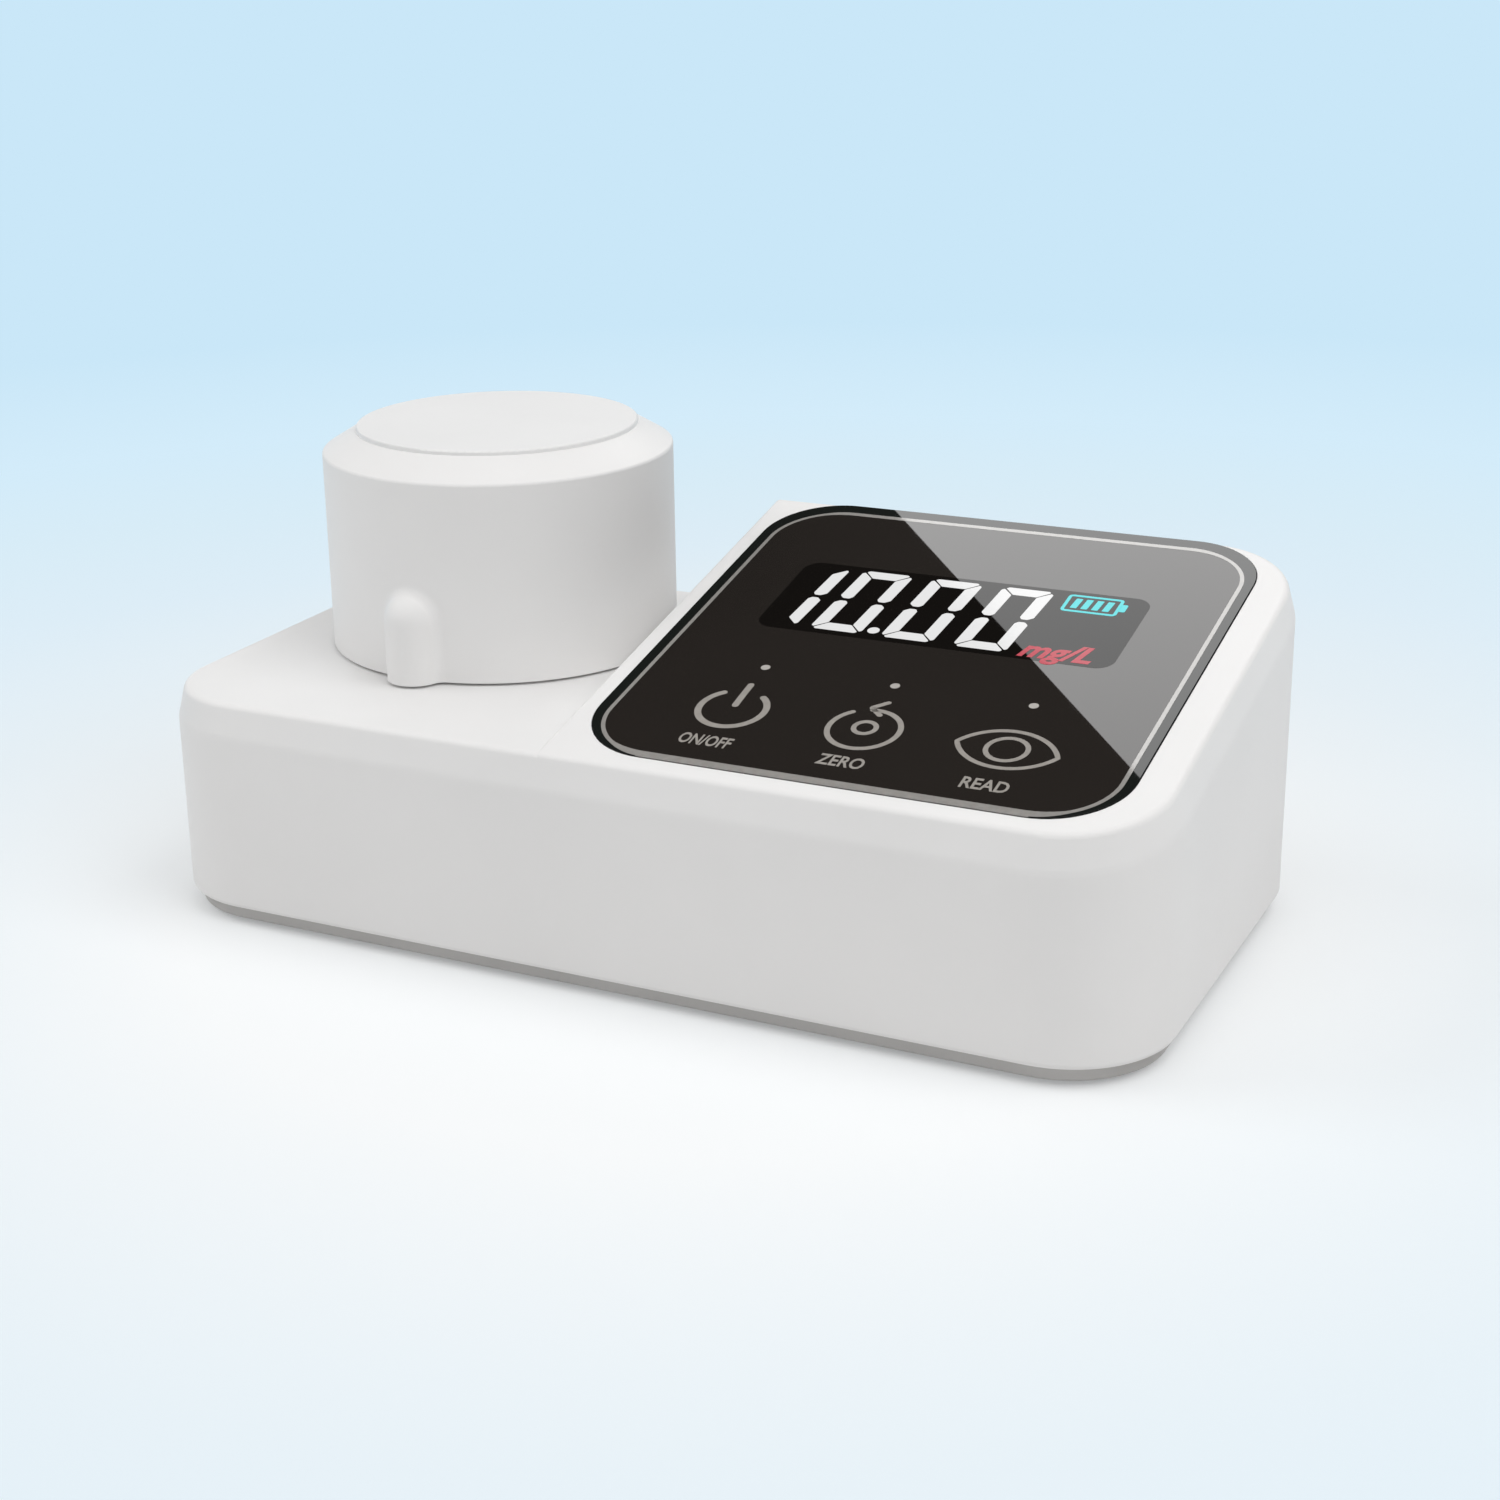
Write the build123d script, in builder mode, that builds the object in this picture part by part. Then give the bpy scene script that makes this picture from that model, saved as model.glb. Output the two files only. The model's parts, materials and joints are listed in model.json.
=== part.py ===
"""Bench chlorine dioxide meter: a low white body with a lift-off light cap and a sloping touch panel.

Units are millimetres. +X is to the right and +Y to the back for someone reading the panel, +Z is up. The
origin is the middle of the footprint on the bench. Places on the panel are taken up the slope, from the foot
of its front edge.
"""

import os
from math import cos, hypot, radians, sin, tan

from build123d import *

os.makedirs("parts", exist_ok=True)

# Body
body_length = 190.0
body_depth = 100.0
corner_radius = 19.0
deck_height = 42.5
slope_angle = 12.5
housing_wall = 2.5
slope_skin = 3.5
facet_height = 6.0
facet_depth = 1.5
rim_round = 1.2
facet_blend = 5.0
base_edge_round = 1.2
wedge_edge_round = 1.0

# Base
foot_proud = 0.8
foot_thick = 1.8
foot_radius = 5.0
foot_gap = 0.2
foot_edge = 0.3
foot_inset_x = 29.0
foot_inset_y = 14.0
cover_show = 2.6
cover_inset = 1.8
cover_edge_round = 0.6
lip_height = 3.6
lip_wall = 1.5
lip_gap = 0.2
boss_radius = 3.5
boss_inset = 15.0
housing_screw_radius = 1.5
housing_screw_reach = 9.0
housing_screw_head_radius = 2.8
housing_screw_head = 1.3
housing_screw_cross = 2.8
housing_screw_slot = 0.7
screw_gap = 0.1
head_gap = 0.3

# Sample well: the vial is 25 mm across and 60 mm tall
well_from_left = 43.5
well_from_back = 41.0
vial_radius = 12.5
vial_gap = 0.3
vial_floor = 12.0
well_wall = 3.2
well_base = 3.0
well_mouth_chamfer = 0.8
plinth_height = 6.5
collar_rise = 3.0
deck_hole_gap = 0.4
key_half_width = 2.2
key_reach = 34.0
gasket_inner = 24.0
gasket_outer = 29.0
gasket_thick = 1.5
gasket_groove = 0.5
gasket_gap = 0.2
well_screw_circle = 21.5
well_screw_angle = 30.0
well_screw_radius = 1.5
well_screw_reach = 4.0

# Light cap
cap_radius = 33.0
cap_side_gap = 6.5
cap_wall = 2.3
cap_roof = 2.5
cap_rim_gap = 0.5
cap_chamfer_start = 79.8
cap_top = 84.5
cap_shoulder_radius = 26.7
cap_edge_round = 0.6
cap_disc_radius = 26.45
cap_disc_rise = 0.9
cap_disc_round = 0.35
cap_plinth_gap = 0.4
rib_radius = 5.2
rib_centre = 32.2
rib_top = 59.3
rib_round = 2.2
root_reach = 0.01
key_gap = 0.4
liner_gap = 0.1
liner_wall = 1.5
liner_seat_inner = 26.0
liner_seat = 2.0

# Optics: a beam along X through the vial
beam_height = 27.0
beam_hole = 2.5
sleeve_bore = 4.6
sleeve_radius = 6.5
sleeve_reach = 28.0
optic_radius = 4.5
optic_seat = 17.0
optic_thick = 3.0
lens_bulge = 1.75
lens_dip = 0.4
ear_width = 24.0
ear_height = 13.0
ear_thick = 3.0
ear_corner = 3.0
ear_screw_y = 8.5
ear_screw_radius = 1.0
ear_screw_reach = 2.5
ear_screw_head_radius = 1.9
ear_screw_head = 1.4
holder_flange = 2.5
led_radius = 2.5
led_rim = 2.9
led_rim_thick = 1.1
led_length = 7.5
led_gap = 0.05
sensor_board_thick = 1.2
ring_wall = 1.0
diode_radius = 4.0
diode_base = 1.5
diode_height = 5.5

# Panel stack on the slope
panel_from_left = 3.7
panel_from_right = 8.0
panel_start = 3.7
panel_height = 95.1
panel_corner = 14.0
panel_thick = 1.5
panel_proud = 0.2
panel_gap = 0.2
adhesive_thick = 0.2
adhesive_inset = 1.0
window_rise = 58.3
window_width = 68.0
window_height = 26.0
window_corner = 4.0
window_gap = 0.5
display_top_gap = 0.4
board_drop = 9.5
display_board_gap = 1.5
display_board_height = 77.0
display_board_rise = 3.3
board_thick = 1.6
key_pitch = 24.5
key_rise = 17.8
dot_rise = 31.8
pad_radius = 6.0
pad_gap = 0.2
pipe_radius = 1.0
pipe_head_radius = 1.8
pipe_head = 1.0
pipe_gap = 0.1
indicator_side = 2.6
indicator_height = 1.9
display_boss_radius = 3.0
display_boss_inset = 4.0
display_boss_root = 1.0
board_screw_radius = 1.25
board_screw_head_radius = 2.4
board_screw_head = 1.6
display_screw_reach = 4.5

# Main board and what is on it
main_board_length = 80.0
main_board_depth = 44.6
main_board_from_right = 21.0
main_board_gap = 0.7
main_board_lift = 4.6
standoff_radius = 3.5
standoff_inset = 4.0
main_screw_reach = 3.4
usb_from_right = 20.0
usb_width = 9.0
usb_height = 3.2
usb_length = 7.4
usb_set_back = 0.8
usb_shell = 0.4
usb_tongue = 0.7
usb_tongue_width = 6.6
usb_end_trim = 0.01
usb_slot_gap = 0.3
buzzer_spot = (66.0, 22.8)
buzzer_radius = 6.0
buzzer_height = 8.5
buzzer_hole = 1.2
buzzer_hole_depth = 1.5
chip_spots = ((28.0, 19.8, 12.0, 12.0), (16.0, 31.8, 10.0, 7.0), (30.0, 35.8, 6.0, 5.0))
chip_height = 1.4
capacitor_spots = ((12.0, 6.3), (20.0, 6.3), (28.0, 6.3))
capacitor_radius = 3.2
capacitor_height = 8.0
connector_width = 7.0
connector_depth = 5.0
connector_height = 5.0
left_socket_inset = 4.5
source_socket_row = 12.8
detector_socket_row = 26.8
battery_socket_row = 11.8
sensor_socket_width = 7.0
sensor_socket_height = 5.0
sensor_socket_depth = 3.5

# Battery
battery_from_right = 29.0
battery_from_front = 8.0
battery_length = 60.0
battery_width = 34.0
battery_thick = 8.0
battery_edge_round = 1.5
tape_thick = 0.8
tape_inset = 5.0
fence_gap = 0.5
fence_wall = 1.2
fence_height = 4.0
fence_length = 50.0

# Wiring
lead_radius = 0.8
lead_floor_gap = 0.2
lead_bend_share = 0.45
ribbon_from_left = 46.0
ribbon_width = 12.0
ribbon_thick = 0.4
ribbon_radius = 5.0
ribbon_socket_depth = 4.5
ribbon_socket_height = 2.0
ribbon_socket_rise = 66.3
ribbon_socket_row = 31.8
ribbon_socket_margin = 1.0
ribbon_run = 14.0
ribbon_bend_row = 2.8

# Worked out from the driving sizes
wall_lean = sin(radians(0.5))
front_y = -body_depth / 2
back_y = body_depth / 2
tilt = radians(slope_angle)
housing_low = foot_proud + cover_show
plinth_top = deck_height + plinth_height
collar_top = plinth_top + collar_rise
seat_height = plinth_top - gasket_groove + gasket_thick
well_bore = vial_radius + vial_gap
tube_radius = well_bore + well_wall
cap_inner = cap_radius - cap_wall
cap_rim = deck_height + cap_rim_gap
plinth_radius = cap_inner - cap_plinth_gap
deck_underside = deck_height - housing_wall
recess_depth = panel_thick + adhesive_thick - panel_proud
boss_x = body_length / 2 - boss_inset
boss_y = body_depth / 2 - boss_inset
foot_x = body_length / 2 - foot_inset_x
foot_y = body_depth / 2 - foot_inset_y
well_x = -body_length / 2 + well_from_left
well_y = back_y - well_from_back
wedge_left = well_x + cap_radius + cap_side_gap
right_x = body_length / 2
panel_width = right_x - panel_from_right - wedge_left - panel_from_left
panel_x = wedge_left + panel_from_left + panel_width / 2
panel_centre = (panel_x, panel_start + panel_height / 2)
window_centre = (panel_x, panel_start + window_rise)
key_row = panel_start + key_rise
dot_row = panel_start + dot_rise
key_columns = (panel_x - key_pitch, panel_x, panel_x + key_pitch)
display_board_right = boss_x - boss_radius - display_board_gap
display_board_left = 2 * panel_x - display_board_right
display_board_start = panel_start + display_board_rise
display_board_end = display_board_start + display_board_height
board_low = -board_drop - board_thick
main_board_right = right_x - main_board_from_right
main_board_left = main_board_right - main_board_length
main_board_back = back_y - housing_wall - main_board_gap
main_board_front = main_board_back - main_board_depth
battery_centre = (
    right_x - battery_from_right - battery_length / 2,
    front_y + battery_from_front + battery_width / 2,
)
usb_x = main_board_right - usb_from_right
main_board_low = housing_low + main_board_lift
main_board_top = main_board_low + board_thick
slope_plane = Plane(
    origin=(0, front_y + facet_depth, deck_height), x_dir=(1, 0, 0), z_dir=(0, -sin(tilt), cos(tilt))
)
detector_plane = Plane(origin=(well_x, well_y, beam_height), x_dir=(0, 1, 0), z_dir=(1, 0, 0))
source_plane = Plane(origin=(well_x, well_y, beam_height), x_dir=(0, -1, 0), z_dir=(-1, 0, 0))
boss_spots = [(x, y) for x in (-boss_x, boss_x) for y in (-boss_y, boss_y)]
foot_spots = [(x, y) for x in (-foot_x, foot_x) for y in (-foot_y, foot_y)]
board_corners = [
    (x, y)
    for x in (display_board_left + display_boss_inset, display_board_right - display_boss_inset)
    for y in (display_board_start + display_boss_inset, display_board_end - display_boss_inset)
]
standoff_spots = [
    (x, y)
    for x in (main_board_left + standoff_inset, main_board_right - standoff_inset)
    for y in (main_board_front + standoff_inset, main_board_back - standoff_inset)
]


def plan(inset):
    """Draws the body's plan outline, drawn in by inset, in the sketch that is open."""
    RectangleRounded(body_length - 2 * inset, body_depth - 2 * inset, corner_radius - inset)


def on_board(spot):
    """Gives the plan place of a spot that is counted from the main board's left front corner."""
    return (main_board_left + spot[0], main_board_front + spot[1])


def on_slope(along, up, depth):
    """Gives the point of the body's frame for a place in the slope's plane and a depth under it."""
    return slope_plane.from_local_coords(Vector(along, up, -depth))


def facet_rim(block, top_length, wall_length):
    """Cuts the steep facet round the top face of block and blends its two edges."""
    top = block.faces().sort_by(Axis.Z)[-1]
    chamfer(top.edges(), length=top_length, length2=wall_length, reference=top)
    walls = block.faces().filter_by(lambda face: abs(face.normal_at().Z) < wall_lean)
    fillet([wall.edges().sort_by(lambda edge: (edge @ 0.5).Z)[-1] for wall in walls], facet_blend)
    fillet(block.faces().sort_by(Axis.Z)[-1].edges(), rim_round)
    fillet(block.faces().sort_by(Axis.Z)[0].edges(), base_edge_round)


# Outer form: the deck block and the wedge block, each with its facet. The deck runs in under the rounded
# left edge of the wedge, so that no groove is left where the wedge is lowest.
with BuildPart() as deck_block:
    with BuildSketch(Plane.XY.offset(housing_low)):
        plan(0)
    extrude(amount=deck_height - housing_low)
    facet_rim(deck_block, facet_depth, facet_height)
    split(bisect_by=Plane.YZ.offset(wedge_left + wedge_edge_round), keep=Keep.BOTTOM)

with BuildPart() as wedge_block:
    with BuildSketch(Plane.XY.offset(housing_low)):
        plan(0)
    extrude(amount=deck_height + body_depth)
    split(bisect_by=slope_plane, keep=Keep.BOTTOM)
    facet_rim(wedge_block, facet_depth / cos(tilt), facet_height - facet_depth * tan(tilt))
    split(bisect_by=Plane.YZ.offset(wedge_left), keep=Keep.TOP)
    left_edge = wedge_block.edges().filter_by(Axis(slope_plane.origin, slope_plane.y_dir)).sort_by(Axis.X)[0]
    fillet(left_edge, wedge_edge_round)

# Hollow: under the deck up to the wedge's left wall, and under the slope beyond it
with BuildPart() as deck_hollow:
    with BuildSketch(Plane.XY.offset(housing_low)):
        plan(housing_wall)
    extrude(amount=deck_underside - housing_low)
    split(bisect_by=Plane.YZ.offset(wedge_left + housing_wall), keep=Keep.BOTTOM)

with BuildPart() as wedge_hollow:
    with BuildSketch(Plane.XY.offset(housing_low)):
        plan(housing_wall)
    extrude(amount=deck_height + body_depth)
    split(bisect_by=slope_plane.offset(-slope_skin), keep=Keep.BOTTOM)
    split(bisect_by=Plane.YZ.offset(wedge_left + housing_wall), keep=Keep.TOP)

# Upper housing
with BuildPart() as outer_form:
    add(deck_block.part)
    add(wedge_block.part)

with BuildPart() as boss_columns:
    with BuildSketch(Plane.XY.offset(housing_low)):
        with Locations(*boss_spots):
            Circle(boss_radius)
    extrude(amount=deck_height + body_depth)
    add(outer_form.part, mode=Mode.INTERSECT)

with BuildPart() as upper_housing:
    add(outer_form.part)
    add(deck_hollow.part, mode=Mode.SUBTRACT)
    add(wedge_hollow.part, mode=Mode.SUBTRACT)
    add(boss_columns.part)
    # Screw holes up the bosses
    with BuildSketch(Plane.XY.offset(housing_low)):
        with Locations(*boss_spots):
            Circle(housing_screw_radius + screw_gap)
    extrude(amount=housing_screw_reach + screw_gap, mode=Mode.SUBTRACT)
    # Bosses for the display board, square to the slope
    with BuildSketch(slope_plane.offset(-board_drop)):
        with Locations(*board_corners):
            Circle(display_boss_radius)
    extrude(amount=board_drop - slope_skin + display_boss_root)
    with BuildSketch(slope_plane.offset(-board_drop)):
        with Locations(*board_corners):
            Circle(board_screw_radius + screw_gap)
    extrude(amount=display_screw_reach + screw_gap, mode=Mode.SUBTRACT)
    # Recess for the panel and the openings in its floor
    with BuildSketch(slope_plane.offset(-recess_depth)):
        with Locations(panel_centre):
            RectangleRounded(
                panel_width + 2 * panel_gap, panel_height + 2 * panel_gap, panel_corner + panel_gap
            )
    extrude(amount=deck_height, mode=Mode.SUBTRACT)
    with BuildSketch(slope_plane.offset(-slope_skin - panel_gap)):
        with Locations(window_centre):
            RectangleRounded(window_width + 2 * window_gap, window_height + 2 * window_gap, window_corner)
        with Locations(*[(x, key_row) for x in key_columns]):
            Circle(pad_radius + pad_gap)
        with Locations(*[(x, dot_row) for x in key_columns]):
            Circle(pipe_radius + pipe_gap)
    extrude(amount=slope_skin, mode=Mode.SUBTRACT)
    # Deck opening for the well and its screw holes
    with BuildSketch(Plane.XY.offset(deck_underside)):
        with Locations((well_x, well_y)):
            Circle(tube_radius + deck_hole_gap)
            with PolarLocations(well_screw_circle, 3, well_screw_angle):
                Circle(well_screw_radius + screw_gap)
    extrude(amount=housing_wall, mode=Mode.SUBTRACT)
    # Slot in the back wall for the charging inlet
    with BuildSketch(Plane.XZ.offset(-back_y)):
        with Locations((usb_x, main_board_top + usb_height / 2)):
            RectangleRounded(
                usb_width + 2 * usb_slot_gap,
                usb_height + 2 * usb_slot_gap,
                usb_height / 2 + usb_slot_gap - usb_end_trim,
            )
    extrude(amount=housing_wall, mode=Mode.SUBTRACT)
upper_housing.part.label = "upper_housing"
export_step(upper_housing.part, "parts/upper_housing.step")

# Bottom cover: plate, locating lip, board standoffs and the battery's two fences
with BuildPart() as bottom_cover:
    with BuildSketch(Plane.XY.offset(foot_proud)):
        plan(cover_inset)
    extrude(amount=cover_show)
    fillet(bottom_cover.faces().sort_by(Axis.Z)[0].edges(), cover_edge_round)
    with BuildSketch(Plane.XY.offset(housing_low)):
        plan(housing_wall + lip_gap)
        offset(amount=-lip_wall, mode=Mode.SUBTRACT)
    extrude(amount=lip_height)
    with BuildSketch(Plane.XY.offset(housing_low)):
        with Locations(*standoff_spots):
            Circle(standoff_radius)
    extrude(amount=main_board_lift)
    with BuildSketch(Plane.XY.offset(housing_low + main_board_lift)):
        with Locations(*standoff_spots):
            Circle(board_screw_radius + screw_gap)
    extrude(amount=-main_screw_reach - screw_gap, mode=Mode.SUBTRACT)
    with BuildSketch(Plane.XY.offset(housing_low)):
        for side in (-1, 1):
            with Locations(
                (
                    battery_centre[0],
                    battery_centre[1] + side * (battery_width / 2 + fence_gap + fence_wall / 2),
                )
            ):
                Rectangle(fence_length, fence_wall)
    extrude(amount=fence_height)
    with BuildSketch(Plane.XY.offset(foot_proud)):
        with Locations(*foot_spots):
            Circle(foot_radius + foot_gap)
    extrude(amount=foot_thick - foot_proud, mode=Mode.SUBTRACT)
    with BuildSketch(Plane.XY.offset(foot_proud)):
        with Locations(*boss_spots):
            Circle(housing_screw_head_radius + head_gap)
    extrude(amount=screw_gap + housing_screw_head, mode=Mode.SUBTRACT)
    with BuildSketch(Plane.XY.offset(foot_proud)):
        with Locations(*boss_spots):
            Circle(housing_screw_radius + screw_gap)
    extrude(amount=cover_show, mode=Mode.SUBTRACT)
bottom_cover.part.label = "bottom_cover"
export_step(bottom_cover.part, "parts/bottom_cover.step")

# Rubber feet, stuck in shallow pockets of the bottom cover
with BuildPart() as rubber_feet:
    with BuildSketch():
        with Locations(*foot_spots):
            Circle(foot_radius)
    extrude(amount=foot_thick)
    chamfer(rubber_feet.faces().group_by(Axis.Z)[0].edges(), foot_edge)
rubber_feet.part.label = "rubber_feet"
export_step(rubber_feet.part, "parts/rubber_feet.step")

# Housing screws, driven from below
with BuildPart() as housing_screws:
    with BuildSketch(Plane.XY.offset(foot_proud + screw_gap)):
        with Locations(*boss_spots):
            Circle(housing_screw_head_radius)
    extrude(amount=housing_screw_head)
    with BuildSketch(Plane.XY.offset(foot_proud + screw_gap + housing_screw_head)):
        with Locations(*boss_spots):
            Circle(housing_screw_radius)
    extrude(amount=housing_low + housing_screw_reach - foot_proud - screw_gap - housing_screw_head)
    with BuildSketch(Plane.XY.offset(foot_proud + screw_gap)):
        with Locations(*boss_spots):
            Rectangle(housing_screw_cross, housing_screw_slot)
            Rectangle(housing_screw_slot, housing_screw_cross)
    extrude(amount=housing_screw_head / 2, mode=Mode.SUBTRACT)
housing_screws.part.label = "housing_screws"
export_step(housing_screws.part, "parts/housing_screws.step")

# Sample well: plinth on the deck, collar, tube with a blind bore, key, and a sleeve for each side of the beam
with BuildPart() as cuvette_well:
    with BuildSketch(Plane.XY.offset(vial_floor - well_base)):
        with Locations((well_x, well_y)):
            Circle(tube_radius)
    extrude(amount=collar_top - vial_floor + well_base)
    with BuildSketch(Plane.XY.offset(deck_height)):
        with Locations((well_x, well_y)):
            Circle(plinth_radius)
        with Locations((well_x, well_y - key_reach / 2)):
            Rectangle(2 * key_half_width, key_reach)
    extrude(amount=plinth_height)
    for side_plane in (source_plane, detector_plane):
        with BuildSketch(side_plane):
            Circle(sleeve_radius)
        extrude(amount=sleeve_reach)
        with BuildSketch(side_plane.offset(sleeve_reach - ear_thick)):
            RectangleRounded(ear_width, ear_height, ear_corner)
        extrude(amount=ear_thick)
    with BuildSketch(Plane.XY.offset(vial_floor)):
        with Locations((well_x, well_y)):
            Circle(well_bore)
    extrude(amount=collar_top - vial_floor, mode=Mode.SUBTRACT)
    with BuildSketch(Plane.XY.offset(plinth_top - gasket_groove)):
        with Locations((well_x, well_y)):
            Circle(gasket_outer + gasket_gap)
            Circle(gasket_inner - gasket_gap, mode=Mode.SUBTRACT)
    extrude(amount=gasket_groove, mode=Mode.SUBTRACT)
    for side_plane in (source_plane, detector_plane):
        with BuildSketch(side_plane):
            Circle(beam_hole)
        extrude(amount=optic_seat, mode=Mode.SUBTRACT)
        with BuildSketch(side_plane.offset(optic_seat)):
            Circle(sleeve_bore)
        extrude(amount=sleeve_reach - optic_seat, mode=Mode.SUBTRACT)
        with BuildSketch(side_plane.offset(sleeve_reach)):
            with Locations((-ear_screw_y, 0), (ear_screw_y, 0)):
                Circle(ear_screw_radius + screw_gap)
        extrude(amount=-ear_screw_reach - screw_gap, mode=Mode.SUBTRACT)
    with BuildSketch(Plane.XY.offset(deck_height)):
        with Locations((well_x, well_y)):
            with PolarLocations(well_screw_circle, 3, well_screw_angle):
                Circle(well_screw_radius + screw_gap)
    extrude(amount=well_screw_reach + screw_gap, mode=Mode.SUBTRACT)
    mouth = cuvette_well.edges().filter_by(GeomType.CIRCLE).group_by(Axis.Z)[-1]
    chamfer(mouth, well_mouth_chamfer)
cuvette_well.part.label = "cuvette_well"
export_step(cuvette_well.part, "parts/cuvette_well.step")

# Foam ring in the plinth's groove, which the cap stands on
with BuildPart() as cap_seat_gasket:
    with BuildSketch(Plane.XY.offset(plinth_top - gasket_groove)):
        with Locations((well_x, well_y)):
            Circle(gasket_outer)
            Circle(gasket_inner, mode=Mode.SUBTRACT)
    extrude(amount=gasket_thick)
cap_seat_gasket.part.label = "cap_seat_gasket"
export_step(cap_seat_gasket.part, "parts/cap_seat_gasket.step")

# Screws that hold the well, up through the deck into the plinth
with BuildPart() as well_screws:
    with BuildSketch(Plane.XY.offset(deck_underside - board_screw_head)):
        with Locations((well_x, well_y)):
            with PolarLocations(well_screw_circle, 3, well_screw_angle):
                Circle(housing_screw_head_radius)
    extrude(amount=board_screw_head)
    with BuildSketch(Plane.XY.offset(deck_underside)):
        with Locations((well_x, well_y)):
            with PolarLocations(well_screw_circle, 3, well_screw_angle):
                Circle(well_screw_radius)
    extrude(amount=housing_wall + well_screw_reach)
well_screws.part.label = "well_screws"
export_step(well_screws.part, "parts/well_screws.step")

# Light cap: revolved shell with a hollow rib at the front that slides over the well's key
cap_shoulder = cap_top - cap_disc_rise
chamfer_run = cap_radius - cap_shoulder_radius
chamfer_rise = cap_shoulder - cap_chamfer_start
chamfer_slant = hypot(chamfer_run, chamfer_rise)


def chamfer_radius(height, depth):
    """Gives the radius at a height of the cap's chamfer line, set in by depth square to it."""
    start_r = cap_radius - depth * chamfer_rise / chamfer_slant
    start_z = cap_chamfer_start - depth * chamfer_run / chamfer_slant
    return start_r - (height - start_z) * chamfer_run / chamfer_rise


def chamfer_height(radius, depth):
    """Gives the height at a radius of the cap's chamfer line, set in by depth square to it."""
    start_r = cap_radius - depth * chamfer_rise / chamfer_slant
    start_z = cap_chamfer_start - depth * chamfer_run / chamfer_slant
    return start_z + (start_r - radius) * chamfer_rise / chamfer_run


def cap_profile(low, side, roof, depth):
    """Gives the half section of a cup that follows the cap's form, set in by depth at the chamfer."""
    return [
        (0, low),
        (side, low),
        (side, chamfer_height(side, depth)),
        (chamfer_radius(roof, depth), roof),
        (0, roof),
    ]


def is_rib_root(edge):
    """Tells whether an edge is one where the rib leaves the cap's round wall."""
    middle = edge @ 0.5
    on_wall = abs(hypot(middle.X - well_x, middle.Y - well_y) - cap_radius) < root_reach
    return on_wall and middle.Y < well_y - cap_inner and cap_rim + root_reach < middle.Z < rib_top


cap_plane = Plane(origin=(well_x, well_y, 0), x_dir=(1, 0, 0), z_dir=(0, -1, 0))
cap_axis = Axis((well_x, well_y, 0), (0, 0, 1))

with BuildPart() as rib_form:
    with BuildSketch(Plane.XY.offset(cap_rim)):
        with Locations((well_x, well_y - rib_centre)):
            Circle(rib_radius)
    extrude(amount=rib_top - rib_radius - cap_rim)
    with Locations((well_x, well_y - rib_centre, rib_top - rib_radius)):
        Sphere(rib_radius)

with BuildPart() as light_cap:
    with BuildSketch(cap_plane):
        with BuildLine():
            Polyline(*cap_profile(cap_rim, cap_radius, cap_shoulder, 0), close=True)
        make_face()
    revolve(axis=cap_axis)
    circles = light_cap.edges().filter_by(GeomType.CIRCLE)
    fillet(circles.filter_by_position(Axis.Z, cap_chamfer_start, cap_chamfer_start), cap_edge_round)
    # Low disc on top, with a small step down to the chamfer
    with BuildSketch(Plane.XY.offset(cap_shoulder)):
        with Locations((well_x, well_y)):
            Circle(cap_disc_radius)
    extrude(amount=cap_disc_rise)
    circles = light_cap.edges().filter_by(GeomType.CIRCLE)
    fillet(circles.filter_by_position(Axis.Z, cap_top, cap_top), cap_disc_round)
    add(rib_form.part)
    fillet([edge for edge in light_cap.edges() if is_rib_root(edge)], rib_round)
    with BuildSketch(cap_plane):
        with BuildLine():
            Polyline(*cap_profile(cap_rim, cap_inner, cap_top - cap_roof, cap_wall), close=True)
        make_face()
    revolve(axis=cap_axis, mode=Mode.SUBTRACT)
    with BuildSketch(Plane.XY.offset(cap_rim)):
        with Locations((well_x, well_y - (key_reach + key_gap) / 2)):
            Rectangle(2 * (key_half_width + key_gap), key_reach + key_gap)
    extrude(amount=seat_height - cap_rim, mode=Mode.SUBTRACT)
light_cap.part.label = "light_cap"
export_step(light_cap.part, "parts/light_cap.step")

# Black liner in the cap, with the inward seat that stands on the gasket
liner_side = cap_inner - liner_gap
liner_roof = cap_top - cap_roof - liner_gap
liner_depth = cap_wall + liner_gap
with BuildPart() as cap_liner:
    with BuildSketch(cap_plane):
        with BuildLine():
            Polyline(*cap_profile(seat_height, liner_side, liner_roof, liner_depth), close=True)
        make_face()
    revolve(axis=cap_axis)
    with BuildSketch(cap_plane):
        with BuildLine():
            Polyline(
                *cap_profile(
                    seat_height + liner_seat,
                    liner_side - liner_wall,
                    liner_roof - liner_wall,
                    liner_depth + liner_wall,
                ),
                close=True,
            )
        make_face()
    revolve(axis=cap_axis, mode=Mode.SUBTRACT)
    with BuildSketch(Plane.XY.offset(seat_height)):
        with Locations((well_x, well_y)):
            Circle(liner_seat_inner)
    extrude(amount=liner_seat, mode=Mode.SUBTRACT)
cap_liner.part.label = "cap_liner"
export_step(cap_liner.part, "parts/cap_liner.step")

# Source side of the beam: lens, lamp holder, lamp, board and screws
lens_plane = Plane(origin=(well_x, well_y, beam_height), x_dir=(-1, 0, 0), z_dir=(0, 1, 0))
beam_axis = Axis((well_x, well_y, beam_height), (1, 0, 0))
lens_radius = (optic_radius**2 + lens_bulge**2) / (2 * lens_bulge)
lens_vertex = optic_seat - lens_dip
optic_back = optic_seat + optic_thick

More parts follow.
